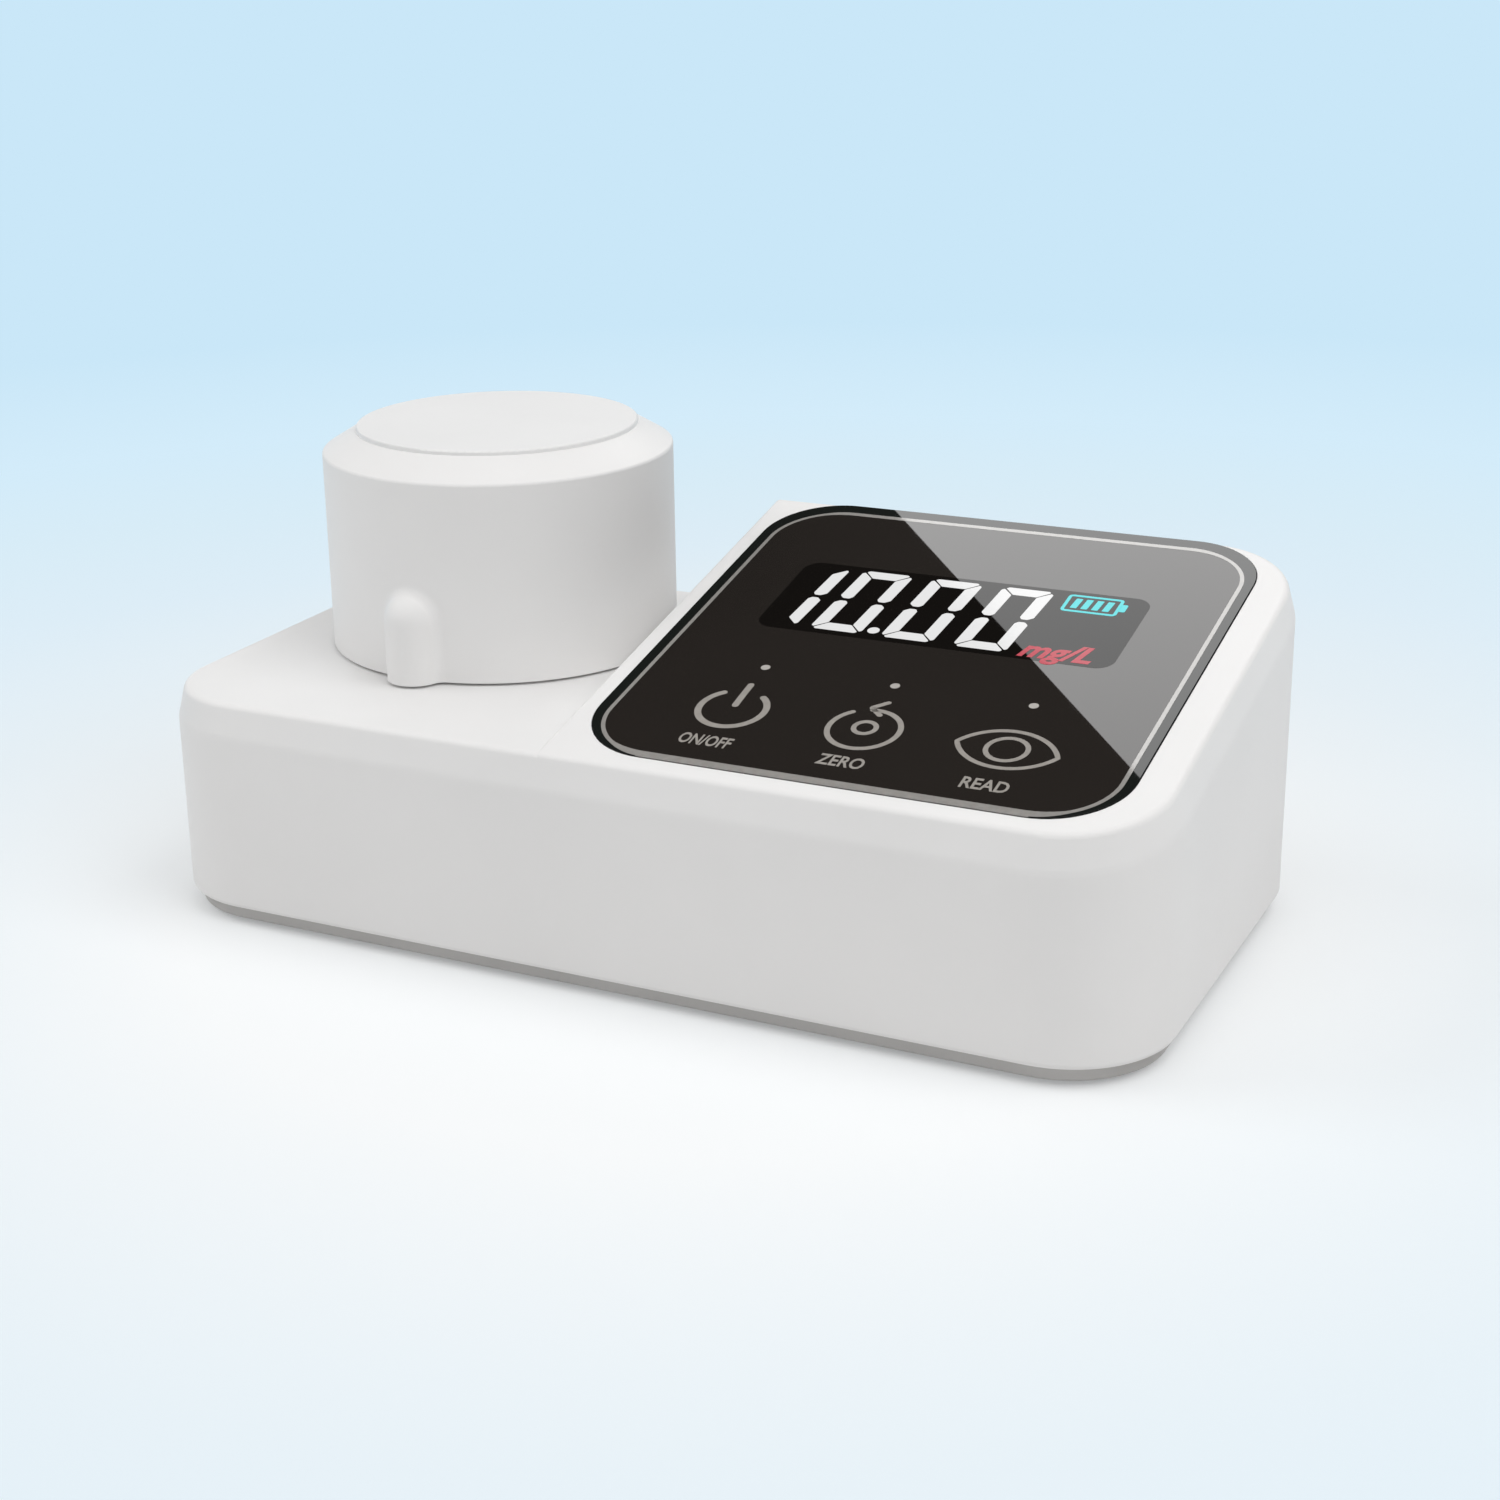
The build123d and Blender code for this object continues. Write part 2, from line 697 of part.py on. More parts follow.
with BuildPart() as condenser_lens:
    with BuildSketch(lens_plane):
        with BuildLine():
            Line((lens_vertex, 0), (optic_back, 0))
            Line((optic_back, 0), (optic_back, optic_radius))
            Line((optic_back, optic_radius), (lens_vertex + lens_bulge, optic_radius))
            RadiusArc((lens_vertex + lens_bulge, optic_radius), (lens_vertex, 0), -lens_radius)
        make_face()
    revolve(axis=beam_axis)
condenser_lens.part.label = "condenser_lens"
export_step(condenser_lens.part, "parts/condenser_lens.step")

holder_back = sleeve_reach + holder_flange
with BuildPart() as led_holder:
    with BuildSketch(source_plane.offset(optic_back)):
        Circle(optic_radius)
    extrude(amount=sleeve_reach - optic_back)
    with BuildSketch(source_plane.offset(sleeve_reach)):
        RectangleRounded(ear_width, ear_height, ear_corner)
        with Locations((-ear_screw_y, 0), (ear_screw_y, 0)):
            Circle(ear_screw_radius + screw_gap, mode=Mode.SUBTRACT)
    extrude(amount=holder_flange)
    with BuildSketch(source_plane.offset(optic_back)):
        Circle(led_radius + led_gap)
    extrude(amount=holder_back - optic_back, mode=Mode.SUBTRACT)
    with BuildSketch(source_plane.offset(holder_back - led_rim_thick - led_gap)):
        Circle(led_rim + led_gap)
    extrude(amount=led_rim_thick + led_gap, mode=Mode.SUBTRACT)
led_holder.part.label = "led_holder"
export_step(led_holder.part, "parts/led_holder.step")

dome_start = holder_back - led_length + led_radius
with BuildPart() as source_led:
    with BuildSketch(lens_plane):
        with BuildLine():
            Line((holder_back - led_length, 0), (holder_back, 0))
            Line((holder_back, 0), (holder_back, led_rim))
            Line((holder_back, led_rim), (holder_back - led_rim_thick, led_rim))
            Line((holder_back - led_rim_thick, led_rim), (holder_back - led_rim_thick, led_radius))
            Line((holder_back - led_rim_thick, led_radius), (dome_start, led_radius))
            RadiusArc((dome_start, led_radius), (holder_back - led_length, 0), -led_radius)
        make_face()
    revolve(axis=beam_axis)
source_led.part.label = "source_led"
export_step(source_led.part, "parts/source_led.step")

with BuildPart() as source_board:
    with BuildSketch(source_plane.offset(holder_back)):
        RectangleRounded(ear_width, ear_height, ear_corner)
        with Locations((-ear_screw_y, 0), (ear_screw_y, 0)):
            Circle(ear_screw_radius + screw_gap, mode=Mode.SUBTRACT)
    extrude(amount=sensor_board_thick)
source_board.part.label = "source_board"
export_step(source_board.part, "parts/source_board.step")

# Detector side of the beam: filter, ring, photodiode, board and screws
with BuildPart() as optical_filter:
    with BuildSketch(detector_plane.offset(optic_seat)):
        Circle(optic_radius)
    extrude(amount=optic_thick)
optical_filter.part.label = "optical_filter"
export_step(optical_filter.part, "parts/optical_filter.step")

with BuildPart() as filter_ring:
    with BuildSketch(detector_plane.offset(optic_back)):
        Circle(optic_radius)
        Circle(optic_radius - ring_wall, mode=Mode.SUBTRACT)
    extrude(amount=sleeve_reach - diode_height - optic_back)
filter_ring.part.label = "filter_ring"
export_step(filter_ring.part, "parts/filter_ring.step")

with BuildPart() as photodiode:
    with BuildSketch(detector_plane.offset(sleeve_reach - diode_height)):
        Circle(diode_radius)
    extrude(amount=diode_height)
    with BuildSketch(detector_plane.offset(sleeve_reach - diode_base)):
        Circle(optic_radius)
    extrude(amount=diode_base)
photodiode.part.label = "photodiode"
export_step(photodiode.part, "parts/photodiode.step")

with BuildPart() as detector_board:
    with BuildSketch(detector_plane.offset(sleeve_reach)):
        RectangleRounded(ear_width, ear_height, ear_corner)
        with Locations((-ear_screw_y, 0), (ear_screw_y, 0)):
            Circle(ear_screw_radius + screw_gap, mode=Mode.SUBTRACT)
    extrude(amount=sensor_board_thick)
detector_board.part.label = "detector_board"
export_step(detector_board.part, "parts/detector_board.step")

# Two screws for each sensor board, heads on the board's outer face
source_board_back = holder_back + sensor_board_thick
detector_board_back = sleeve_reach + sensor_board_thick
for screws_name, side_plane, board_face in (
    ("source_screws", source_plane, source_board_back),
    ("detector_screws", detector_plane, detector_board_back),
):
    with BuildPart() as ear_screws:
        with BuildSketch(side_plane.offset(board_face)):
            with Locations((-ear_screw_y, 0), (ear_screw_y, 0)):
                Circle(ear_screw_head_radius)
        extrude(amount=ear_screw_head)
        with BuildSketch(side_plane.offset(sleeve_reach - ear_screw_reach)):
            with Locations((-ear_screw_y, 0), (ear_screw_y, 0)):
                Circle(ear_screw_radius)
        extrude(amount=board_face - sleeve_reach + ear_screw_reach)
    ear_screws.part.label = screws_name
    export_step(ear_screws.part, f"parts/{screws_name}.step")

# Touch panel and the adhesive frame under it
with BuildPart() as panel_glass:
    with BuildSketch(slope_plane.offset(panel_proud - panel_thick)):
        with Locations(panel_centre):
            RectangleRounded(panel_width, panel_height, panel_corner)
    extrude(amount=panel_thick)
panel_glass.part.label = "panel_glass"
export_step(panel_glass.part, "parts/panel_glass.step")

with BuildPart() as panel_adhesive:
    with BuildSketch(slope_plane.offset(-recess_depth)):
        with Locations(panel_centre):
            RectangleRounded(
                panel_width - 2 * adhesive_inset,
                panel_height - 2 * adhesive_inset,
                panel_corner - adhesive_inset,
            )
        with Locations(window_centre):
            RectangleRounded(
                window_width + 2 * window_gap,
                window_height + 2 * window_gap,
                window_corner,
                mode=Mode.SUBTRACT,
            )
        with Locations(*[(x, key_row) for x in key_columns]):
            Circle(pad_radius + pad_gap, mode=Mode.SUBTRACT)
        with Locations(*[(x, dot_row) for x in key_columns]):
            Circle(pipe_radius + pipe_gap, mode=Mode.SUBTRACT)
    extrude(amount=adhesive_thick)
panel_adhesive.part.label = "panel_adhesive"
export_step(panel_adhesive.part, "parts/panel_adhesive.step")

# Display on its board, with the pads, lamps and light pipes of the three touch keys
with BuildPart() as display_module:
    with BuildSketch(slope_plane.offset(-board_drop)):
        with Locations(window_centre):
            RectangleRounded(window_width, window_height, window_corner - window_gap)
    extrude(amount=board_drop - (panel_thick - panel_proud) - display_top_gap)
display_module.part.label = "display_module"
export_step(display_module.part, "parts/display_module.step")

display_board_centre = (
    (display_board_left + display_board_right) / 2,
    (display_board_start + display_board_end) / 2,
)
with BuildPart() as display_board:
    with BuildSketch(slope_plane.offset(board_low)):
        with Locations(display_board_centre):
            Rectangle(display_board_right - display_board_left, display_board_end - display_board_start)
        with Locations(*board_corners):
            Circle(board_screw_radius + screw_gap, mode=Mode.SUBTRACT)
    extrude(amount=board_thick)
display_board.part.label = "display_board"
export_step(display_board.part, "parts/display_board.step")

with BuildPart() as touch_pads:
    with BuildSketch(slope_plane.offset(-board_drop)):
        with Locations(*[(x, key_row) for x in key_columns]):
            Circle(pad_radius)
    extrude(amount=board_drop - (panel_thick - panel_proud))
touch_pads.part.label = "touch_pads"
export_step(touch_pads.part, "parts/touch_pads.step")

with BuildPart() as indicator_leds:
    with BuildSketch(slope_plane.offset(-board_drop)):
        with Locations(*[(x, dot_row) for x in key_columns]):
            Rectangle(indicator_side, indicator_side)
    extrude(amount=indicator_height)
indicator_leds.part.label = "indicator_leds"
export_step(indicator_leds.part, "parts/indicator_leds.step")

with BuildPart() as light_pipes:
    with BuildSketch(slope_plane.offset(-slope_skin - pipe_head)):
        with Locations(*[(x, dot_row) for x in key_columns]):
            Circle(pipe_head_radius)
    extrude(amount=pipe_head)
    with BuildSketch(slope_plane.offset(-board_drop + indicator_height + pipe_gap)):
        with Locations(*[(x, dot_row) for x in key_columns]):
            Circle(pipe_radius)
    extrude(amount=board_drop - indicator_height - pipe_gap - recess_depth + adhesive_thick)
light_pipes.part.label = "light_pipes"
export_step(light_pipes.part, "parts/light_pipes.step")

with BuildPart() as display_board_screws:
    with BuildSketch(slope_plane.offset(board_low - board_screw_head)):
        with Locations(*board_corners):
            Circle(board_screw_head_radius)
    extrude(amount=board_screw_head)
    with BuildSketch(slope_plane.offset(board_low)):
        with Locations(*board_corners):
            Circle(board_screw_radius)
    extrude(amount=board_thick + display_screw_reach)
display_board_screws.part.label = "display_board_screws"
export_step(display_board_screws.part, "parts/display_board_screws.step")

# Main board on the cover's standoffs
main_board_centre = ((main_board_left + main_board_right) / 2, (main_board_front + main_board_back) / 2)
with BuildPart() as main_board:
    with BuildSketch(Plane.XY.offset(main_board_low)):
        with Locations(main_board_centre):
            Rectangle(main_board_right - main_board_left, main_board_back - main_board_front)
        with Locations(*standoff_spots):
            Circle(board_screw_radius + screw_gap, mode=Mode.SUBTRACT)
    extrude(amount=board_thick)
main_board.part.label = "main_board"
export_step(main_board.part, "parts/main_board.step")

with BuildPart() as main_board_screws:
    with BuildSketch(Plane.XY.offset(main_board_top)):
        with Locations(*standoff_spots):
            Circle(board_screw_head_radius)
    extrude(amount=board_screw_head)
    with BuildSketch(Plane.XY.offset(main_board_low - main_screw_reach)):
        with Locations(*standoff_spots):
            Circle(board_screw_radius)
    extrude(amount=main_screw_reach + board_thick)
main_board_screws.part.label = "main_board_screws"
export_step(main_board_screws.part, "parts/main_board_screws.step")

# Charging inlet: shell with its contact tongue, mouth through the back wall
usb_mouth = back_y - usb_set_back
usb_centre_z = main_board_top + usb_height / 2
with BuildPart() as usb_socket:
    with BuildSketch(Plane.XZ.offset(-usb_mouth)):
        with Locations((usb_x, usb_centre_z)):
            RectangleRounded(usb_width, usb_height, usb_height / 2 - usb_end_trim)
    extrude(amount=usb_length)
    with BuildSketch(Plane.XZ.offset(-usb_mouth)):
        with Locations((usb_x, usb_centre_z)):
            RectangleRounded(
                usb_width - 2 * usb_shell,
                usb_height - 2 * usb_shell,
                usb_height / 2 - usb_shell - usb_end_trim,
            )
    extrude(amount=usb_length - usb_shell, mode=Mode.SUBTRACT)
    with BuildSketch(Plane.XZ.offset(-usb_mouth + usb_length)):
        with Locations((usb_x, usb_centre_z)):
            Rectangle(usb_tongue_width, usb_tongue)
    extrude(amount=-(usb_length - usb_set_back))
usb_socket.part.label = "usb_socket"
export_step(usb_socket.part, "parts/usb_socket.step")

with BuildPart() as buzzer:
    with BuildSketch(Plane.XY.offset(main_board_top)):
        with Locations(on_board(buzzer_spot)):
            Circle(buzzer_radius)
    extrude(amount=buzzer_height)
    with BuildSketch(Plane.XY.offset(main_board_top + buzzer_height)):
        with Locations(on_board(buzzer_spot)):
            Circle(buzzer_hole)
    extrude(amount=-buzzer_hole_depth, mode=Mode.SUBTRACT)
buzzer.part.label = "buzzer"
export_step(buzzer.part, "parts/buzzer.step")

with BuildPart() as board_chips:
    with BuildSketch(Plane.XY.offset(main_board_top)):
        for chip_x, chip_y, chip_width, chip_depth in chip_spots:
            with Locations(on_board((chip_x, chip_y))):
                Rectangle(chip_width, chip_depth)
    extrude(amount=chip_height)
board_chips.part.label = "board_chips"
export_step(board_chips.part, "parts/board_chips.step")

with BuildPart() as capacitors:
    with BuildSketch(Plane.XY.offset(main_board_top)):
        with Locations(*[on_board(spot) for spot in capacitor_spots]):
            Circle(capacitor_radius)
    extrude(amount=capacitor_height)
capacitors.part.label = "capacitors"
export_step(capacitors.part, "parts/capacitors.step")

# Lead sockets on the main board: two face left, one faces right
left_socket = main_board_left + left_socket_inset + connector_depth / 2
right_socket = main_board_right - connector_depth / 2
source_socket_y = main_board_front + source_socket_row
detector_socket_y = main_board_front + detector_socket_row
battery_socket_y = main_board_front + battery_socket_row
with BuildPart() as board_connectors:
    with BuildSketch(Plane.XY.offset(main_board_top)):
        with Locations(
            (left_socket, source_socket_y), (left_socket, detector_socket_y), (right_socket, battery_socket_y)
        ):
            Rectangle(connector_depth, connector_width)
    extrude(amount=connector_height)
board_connectors.part.label = "board_connectors"
export_step(board_connectors.part, "parts/board_connectors.step")

# Lead sockets on the backs of the two sensor boards, mouths down
with BuildPart() as sensor_connectors:
    for side_plane, board_face in ((source_plane, source_board_back), (detector_plane, detector_board_back)):
        with BuildSketch(side_plane.offset(board_face)):
            Rectangle(sensor_socket_width, sensor_socket_height)
        extrude(amount=sensor_socket_depth)
sensor_connectors.part.label = "sensor_connectors"
export_step(sensor_connectors.part, "parts/sensor_connectors.step")

# Battery on its foam tape
with BuildPart() as battery_tape:
    with BuildSketch(Plane.XY.offset(housing_low)):
        with Locations(battery_centre):
            Rectangle(battery_length - 2 * tape_inset, battery_width - 2 * tape_inset)
    extrude(amount=tape_thick)
battery_tape.part.label = "battery_tape"
export_step(battery_tape.part, "parts/battery_tape.step")

battery_low = housing_low + tape_thick
with BuildPart() as battery_pack:
    with BuildSketch(Plane.XY.offset(battery_low)):
        with Locations(battery_centre):
            Rectangle(battery_length, battery_width)
    extrude(amount=battery_thick)
    fillet(battery_pack.edges().filter_by(Axis.X), battery_edge_round)
battery_pack.part.label = "battery_pack"
export_step(battery_pack.part, "parts/battery_pack.step")

# Leads: round cables along straight runs joined by arcs
socket_z = main_board_top + connector_height / 2


def make_lead(name, points):
    """Sweeps a lead along points, each corner rounded as far as its two runs allow, and writes it."""
    runs = [Vector(*b) - Vector(*a) for a, b in zip(points, points[1:])]
    radii = []
    for before, after in zip(runs, runs[1:]):
        half_turn = radians(before.get_angle(after)) / 2
        radii.append(lead_bend_share * min(before.length, after.length) / tan(half_turn))
    with BuildPart() as lead:
        with BuildLine() as route:
            FilletPolyline(*points, radius=radii)
        spine = route.wires()[0]
        with BuildSketch(Plane(origin=spine @ 0, z_dir=spine % 0)):
            Circle(lead_radius)
        sweep()
    lead.part.label = name
    export_step(lead.part, f"parts/{name}.step")


battery_end = battery_centre[0] + battery_length / 2
battery_lead_z = battery_low + battery_thick / 2
make_lead(
    "battery_lead",
    [
        (battery_end, battery_centre[1] + 11, battery_lead_z),
        (battery_end + 13, battery_centre[1] + 11, battery_lead_z),
        (main_board_right + 12, battery_socket_y - 14, socket_z - 1.5),
        (main_board_right + 11.5, battery_socket_y, socket_z),
        (main_board_right, battery_socket_y, socket_z),
    ],
)

sensor_socket_low = beam_height - sensor_socket_height / 2
detector_drop_x = well_x + detector_board_back + sensor_socket_depth / 2
socket_mouth = left_socket - connector_depth / 2
make_lead(
    "detector_lead",
    [
        (detector_drop_x, well_y, sensor_socket_low),
        (detector_drop_x, well_y, socket_z + 0.8),
        (socket_mouth - 11, detector_socket_y, socket_z),
        (socket_mouth, detector_socket_y, socket_z),
    ],
)

source_drop_x = well_x - source_board_back - sensor_socket_depth / 2
floor_run_z = housing_low + lead_radius + lead_floor_gap
make_lead(
    "source_lead",
    [
        (source_drop_x, well_y, sensor_socket_low),
        (source_drop_x, well_y, floor_run_z),
        (well_x - 12, well_y - 7, floor_run_z),
        (well_x + 12, well_y - 8, floor_run_z),
        (well_x + 30, well_y - 2, floor_run_z + 1),
        (socket_mouth - 10, source_socket_y, socket_z),
        (socket_mouth, source_socket_y, socket_z),
    ],
)

# Flat ribbon from the main board to the display board, with its two sockets
ribbon_x = main_board_left + ribbon_from_left
display_socket_centre = panel_start + ribbon_socket_rise
display_socket_front = display_socket_centre - ribbon_socket_depth / 2
board_socket_front = main_board_front + ribbon_socket_row
ribbon_exit = on_slope(ribbon_x, display_socket_front, -board_low + ribbon_socket_height / 2)
ribbon_turn = on_slope(ribbon_x, display_socket_front - ribbon_run, -board_low + ribbon_socket_height / 2)
ribbon_low = main_board_top + ribbon_socket_height / 2
with BuildPart() as ribbon_sockets:
    with BuildSketch(Plane.XY.offset(main_board_top)):
        with Locations((ribbon_x, board_socket_front + ribbon_socket_depth / 2)):
            Rectangle(ribbon_width + 2 * ribbon_socket_margin, ribbon_socket_depth)
    extrude(amount=ribbon_socket_height)
    with BuildSketch(slope_plane.offset(board_low)):
        with Locations((ribbon_x, display_socket_centre)):
            Rectangle(ribbon_width + 2 * ribbon_socket_margin, ribbon_socket_depth)
    extrude(amount=-ribbon_socket_height)
ribbon_sockets.part.label = "ribbon_sockets"
export_step(ribbon_sockets.part, "parts/ribbon_sockets.step")

with BuildPart() as display_ribbon:
    with BuildSketch(Plane.YZ.offset(ribbon_x)):
        with BuildLine():
            FilletPolyline(
                (ribbon_exit.Y, ribbon_exit.Z),
                (ribbon_turn.Y, ribbon_turn.Z),
                (main_board_front + ribbon_bend_row, ribbon_low),
                (board_socket_front, ribbon_low),
                radius=ribbon_radius,
            )
        trace(line_width=ribbon_thick)
    extrude(amount=ribbon_width / 2, both=True)
display_ribbon.part.label = "display_ribbon"
export_step(display_ribbon.part, "parts/display_ribbon.step")
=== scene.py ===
"""Looks of a bench photometer for chlorine dioxide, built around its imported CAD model.

The body is moulded in white ABS, a round light cap stands over the sample well at the left, and a
printed glass panel with a lit display lies on the slope at the right. Lengths are in millimetres
unless a comment says metres, and MM turns them to the metres that Blender and the frame use.
"""
import json
import logging
from dataclasses import dataclass
from enum import Enum
from functools import lru_cache
from typing import Any, Iterable, Sequence

import bmesh
import bpy
import numpy as np
from mathutils import Matrix

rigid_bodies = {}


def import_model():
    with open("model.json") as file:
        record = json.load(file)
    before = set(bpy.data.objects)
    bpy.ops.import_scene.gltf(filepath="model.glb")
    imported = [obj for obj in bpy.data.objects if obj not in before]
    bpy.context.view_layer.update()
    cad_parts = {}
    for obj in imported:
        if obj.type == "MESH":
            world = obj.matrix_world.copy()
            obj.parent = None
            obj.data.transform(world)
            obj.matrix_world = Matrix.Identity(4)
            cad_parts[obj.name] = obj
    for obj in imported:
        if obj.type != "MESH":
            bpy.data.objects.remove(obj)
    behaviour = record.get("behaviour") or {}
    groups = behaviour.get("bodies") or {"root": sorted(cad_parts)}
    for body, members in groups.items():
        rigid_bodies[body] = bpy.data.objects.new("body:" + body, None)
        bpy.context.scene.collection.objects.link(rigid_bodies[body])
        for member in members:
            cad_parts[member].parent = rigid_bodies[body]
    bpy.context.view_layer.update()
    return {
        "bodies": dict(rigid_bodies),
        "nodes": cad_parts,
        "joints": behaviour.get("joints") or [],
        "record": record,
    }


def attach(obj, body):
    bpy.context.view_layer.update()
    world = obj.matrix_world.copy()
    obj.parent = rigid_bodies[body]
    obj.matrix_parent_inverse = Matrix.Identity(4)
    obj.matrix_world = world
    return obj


MM = 0.001
LOG = logging.getLogger("meter")
Array = np.ndarray
Socket = bpy.types.NodeSocket
Tree = bpy.types.NodeTree
Pair = tuple[float, float]
Triple = tuple[float, float, float]
Quad = tuple[float, float, float, float]
Path = tuple[Pair, ...]
Box = tuple[float, float, float, float, float]  # left, right, front, back and corner radius
Turn = tuple[float, ...]  # radius, start and end in degrees, and the number of points

# Blender's noise lies mostly in the first span, which the grain reads. The drift of colour reads a
# narrower one, so that more of the surface shows one full tone or the other.
GRAIN_SPAN = (0.3, 0.7)
DRIFT_LOW, DRIFT_HIGH = 0.35, 0.65
# Bands in one unit of Blender's wave texture at a scale of one.
WAVE_BANDS = 3.183
# Places of the colours among the sockets of Blender's mix node.
MIX_A, MIX_B, MIX_RESULT = 6, 7, 2
# In metres: points nearer than the first are made one, and edges under the second are dissolved.
MERGE_DISTANCE, SHORTEST_EDGE = 1e-7, 1e-8
# Points of the quarter circle on each side of a stroke's round end.
END_STEPS = 7


class Body(Enum):
    """The two bodies that the lift joint parts."""

    BASE = "base"
    CAP = "cap"


class Lie(Enum):
    """How a board lies, as the turn in degrees that brings its face onto a flat pattern's plane."""

    FLAT = (0.0, 0.0, 0.0)
    SLOPED = (-12.5, 0.0, 0.0)
    FACING_SIDE = (0.0, 90.0, 0.0)


def linear(colour: str) -> Quad:
    """Turns an sRGB hex colour to linear light by the standard's own curve.

    Args:
        colour: six hex digits after a hash sign.

    Returns:
        Red, green, blue and an alpha of one.
    """
    levels = np.array([int(colour[i:i + 2], 16) for i in (1, 3, 5)]) / 255.0
    curved = np.where(levels <= 0.04045, levels / 12.92, ((levels + 0.055) / 1.055) ** 2.4)
    return (*(float(level) for level in curved), 1.0)


def add_node(tree: Tree, kind: str, inputs: dict[str | int, Any] | None = None,
             stops: Sequence[tuple[float, str]] = (), **settings: Any) -> bpy.types.Node:
    """Adds one node with its settings and links.

    Args:
        tree: the node tree that gets the node.
        kind: the node's type name after "ShaderNode".
        inputs: by input name or number, a value to set or a socket to link.
        stops: a colour ramp's (place, hex colour) pairs.
        settings: attributes to set.

    Returns:
        The new node.
    """
    node = tree.nodes.new("ShaderNode" + kind)
    for key, value in settings.items():
        setattr(node, key, value)
    if stops:
        marks = node.color_ramp.elements
        while len(marks) < len(stops):
            marks.new(0.5)
        for mark, (place, colour) in zip(marks, stops):
            mark.position, mark.color = place, linear(colour)
    for key, value in (inputs or {}).items():
        if isinstance(value, Socket):
            tree.links.new(value, node.inputs[key])
        else:
            node.inputs[key].default_value = value
    return node


def blank_material(name: str) -> bpy.types.Material:
    """Makes a material whose node tree is empty."""
    material = bpy.data.materials.new(name)
    material.use_nodes = True
    material.node_tree.nodes.clear()
    return material


@dataclass(frozen=True)
class Finish:
    """A surface finish: the values that hold all over it, and the pattern that makes it real.

    Grain is the pitch of the fine relief and depth its height. Cloud is the size of the patches in
    which the colour drifts from colour to shade. The roughness swings by spread with the relief.
    """

    name: str
    colour: str
    shade: str
    roughness: float = 0.5
    spread: float = 0.04
    ior: float = 1.5
    metallic: float = 0.0
    grain: float = 0.6
    depth: float = 0.004
    cloud: float = 30.0

    def pattern(self, tree: Tree, where: Socket) -> dict[str, Socket]:
        """Lays the drift of colour and the grain over the surface.

        Args:
            tree: the material's node tree.
            where: the place on the object.

        Returns:
            What drives the shader, by the name of its input.
        """
        drift = add_node(tree, "TexNoise", {
            "Vector": where, "Scale": 1 / (self.cloud * MM), "Detail": 3.0})
        tint = add_node(tree, "ValToRGB", {"Fac": drift.outputs[0]},
                        ((DRIFT_LOW, self.shade), (DRIFT_HIGH, self.colour)))
        return {"Base Color": tint.outputs[0], **self.grained(tree, where)}

    def grained(self, tree: Tree, where: Socket) -> dict[str, Socket]:
        """Raises the fine grain, and gives what pattern gives."""
        grain = add_node(tree, "TexNoise", {
            "Vector": where, "Scale": 1 / (self.grain * MM), "Detail": 2.0, "Roughness": 0.6})
        ends = (self.roughness - self.spread, self.roughness + self.spread)
        return self.raised(tree, grain.outputs[0], ends, GRAIN_SPAN)

    def raised(self, tree: Tree, height: Socket, ends: Pair,
               span: Pair = (0.0, 1.0)) -> dict[str, Socket]:
        """Raises a relief and lets the gloss follow it, and gives what pattern gives.

        Args:
            tree: the material's node tree.
            height: the relief's height, where one stands for depth.
            ends: the roughness at the low and the high end of the span.
            span: the heights between which the roughness changes.
        """
        bump = add_node(tree, "Bump", {
            "Height": height, "Strength": 1.0, "Distance": self.depth * MM})
        gloss = add_node(tree, "MapRange", {
            "Value": height, "From Min": span[0], "From Max": span[1], "To Min": ends[0],
            "To Max": ends[1]})
        return {"Normal": bump.outputs[0], "Roughness": gloss.outputs[0]}

    def uniform(self) -> dict[str, Any]:
        """Gives the values that are set on the shader's own sockets."""
        return {"IOR": self.ior, "Metallic": self.metallic}

    @lru_cache(maxsize=None)
    def material(self) -> bpy.types.Material:
        """Makes the node material once, and gives the same one again later."""
        material = blank_material(self.name)
        tree = material.node_tree
        where = add_node(tree, "TexCoord").outputs["Object"]
        shader = add_node(tree, "BsdfPrincipled", {**self.uniform(), **self.pattern(tree, where)})
        add_node(tree, "OutputMaterial", {"Surface": shader.outputs[0]})
        return material


@dataclass(frozen=True)
class Foam(Finish):
    """Closed-cell foam: small round cells, dull all over, with painted shade in each sunk middle.
    """

    cell: float = 0.7

    def pattern(self, tree: Tree, where: Socket) -> dict[str, Socket]:
        """Packs the cells, sinks each one a little, and paints shade into its middle."""
        cells = add_node(tree, "TexVoronoi", {"Vector": where, "Scale": 1 / (self.cell * MM)})
        height = cells.outputs["Distance"]
        # Painted shade: the colour darkens from each cell's wall to its sunk middle.
        tint = add_node(tree, "ValToRGB", {"Fac": height},
                        ((0.1, self.shade), (0.7, self.colour)))
        return {"Base Color": tint.outputs[0],
                **self.raised(tree, height, (self.roughness, self.roughness - self.spread))}


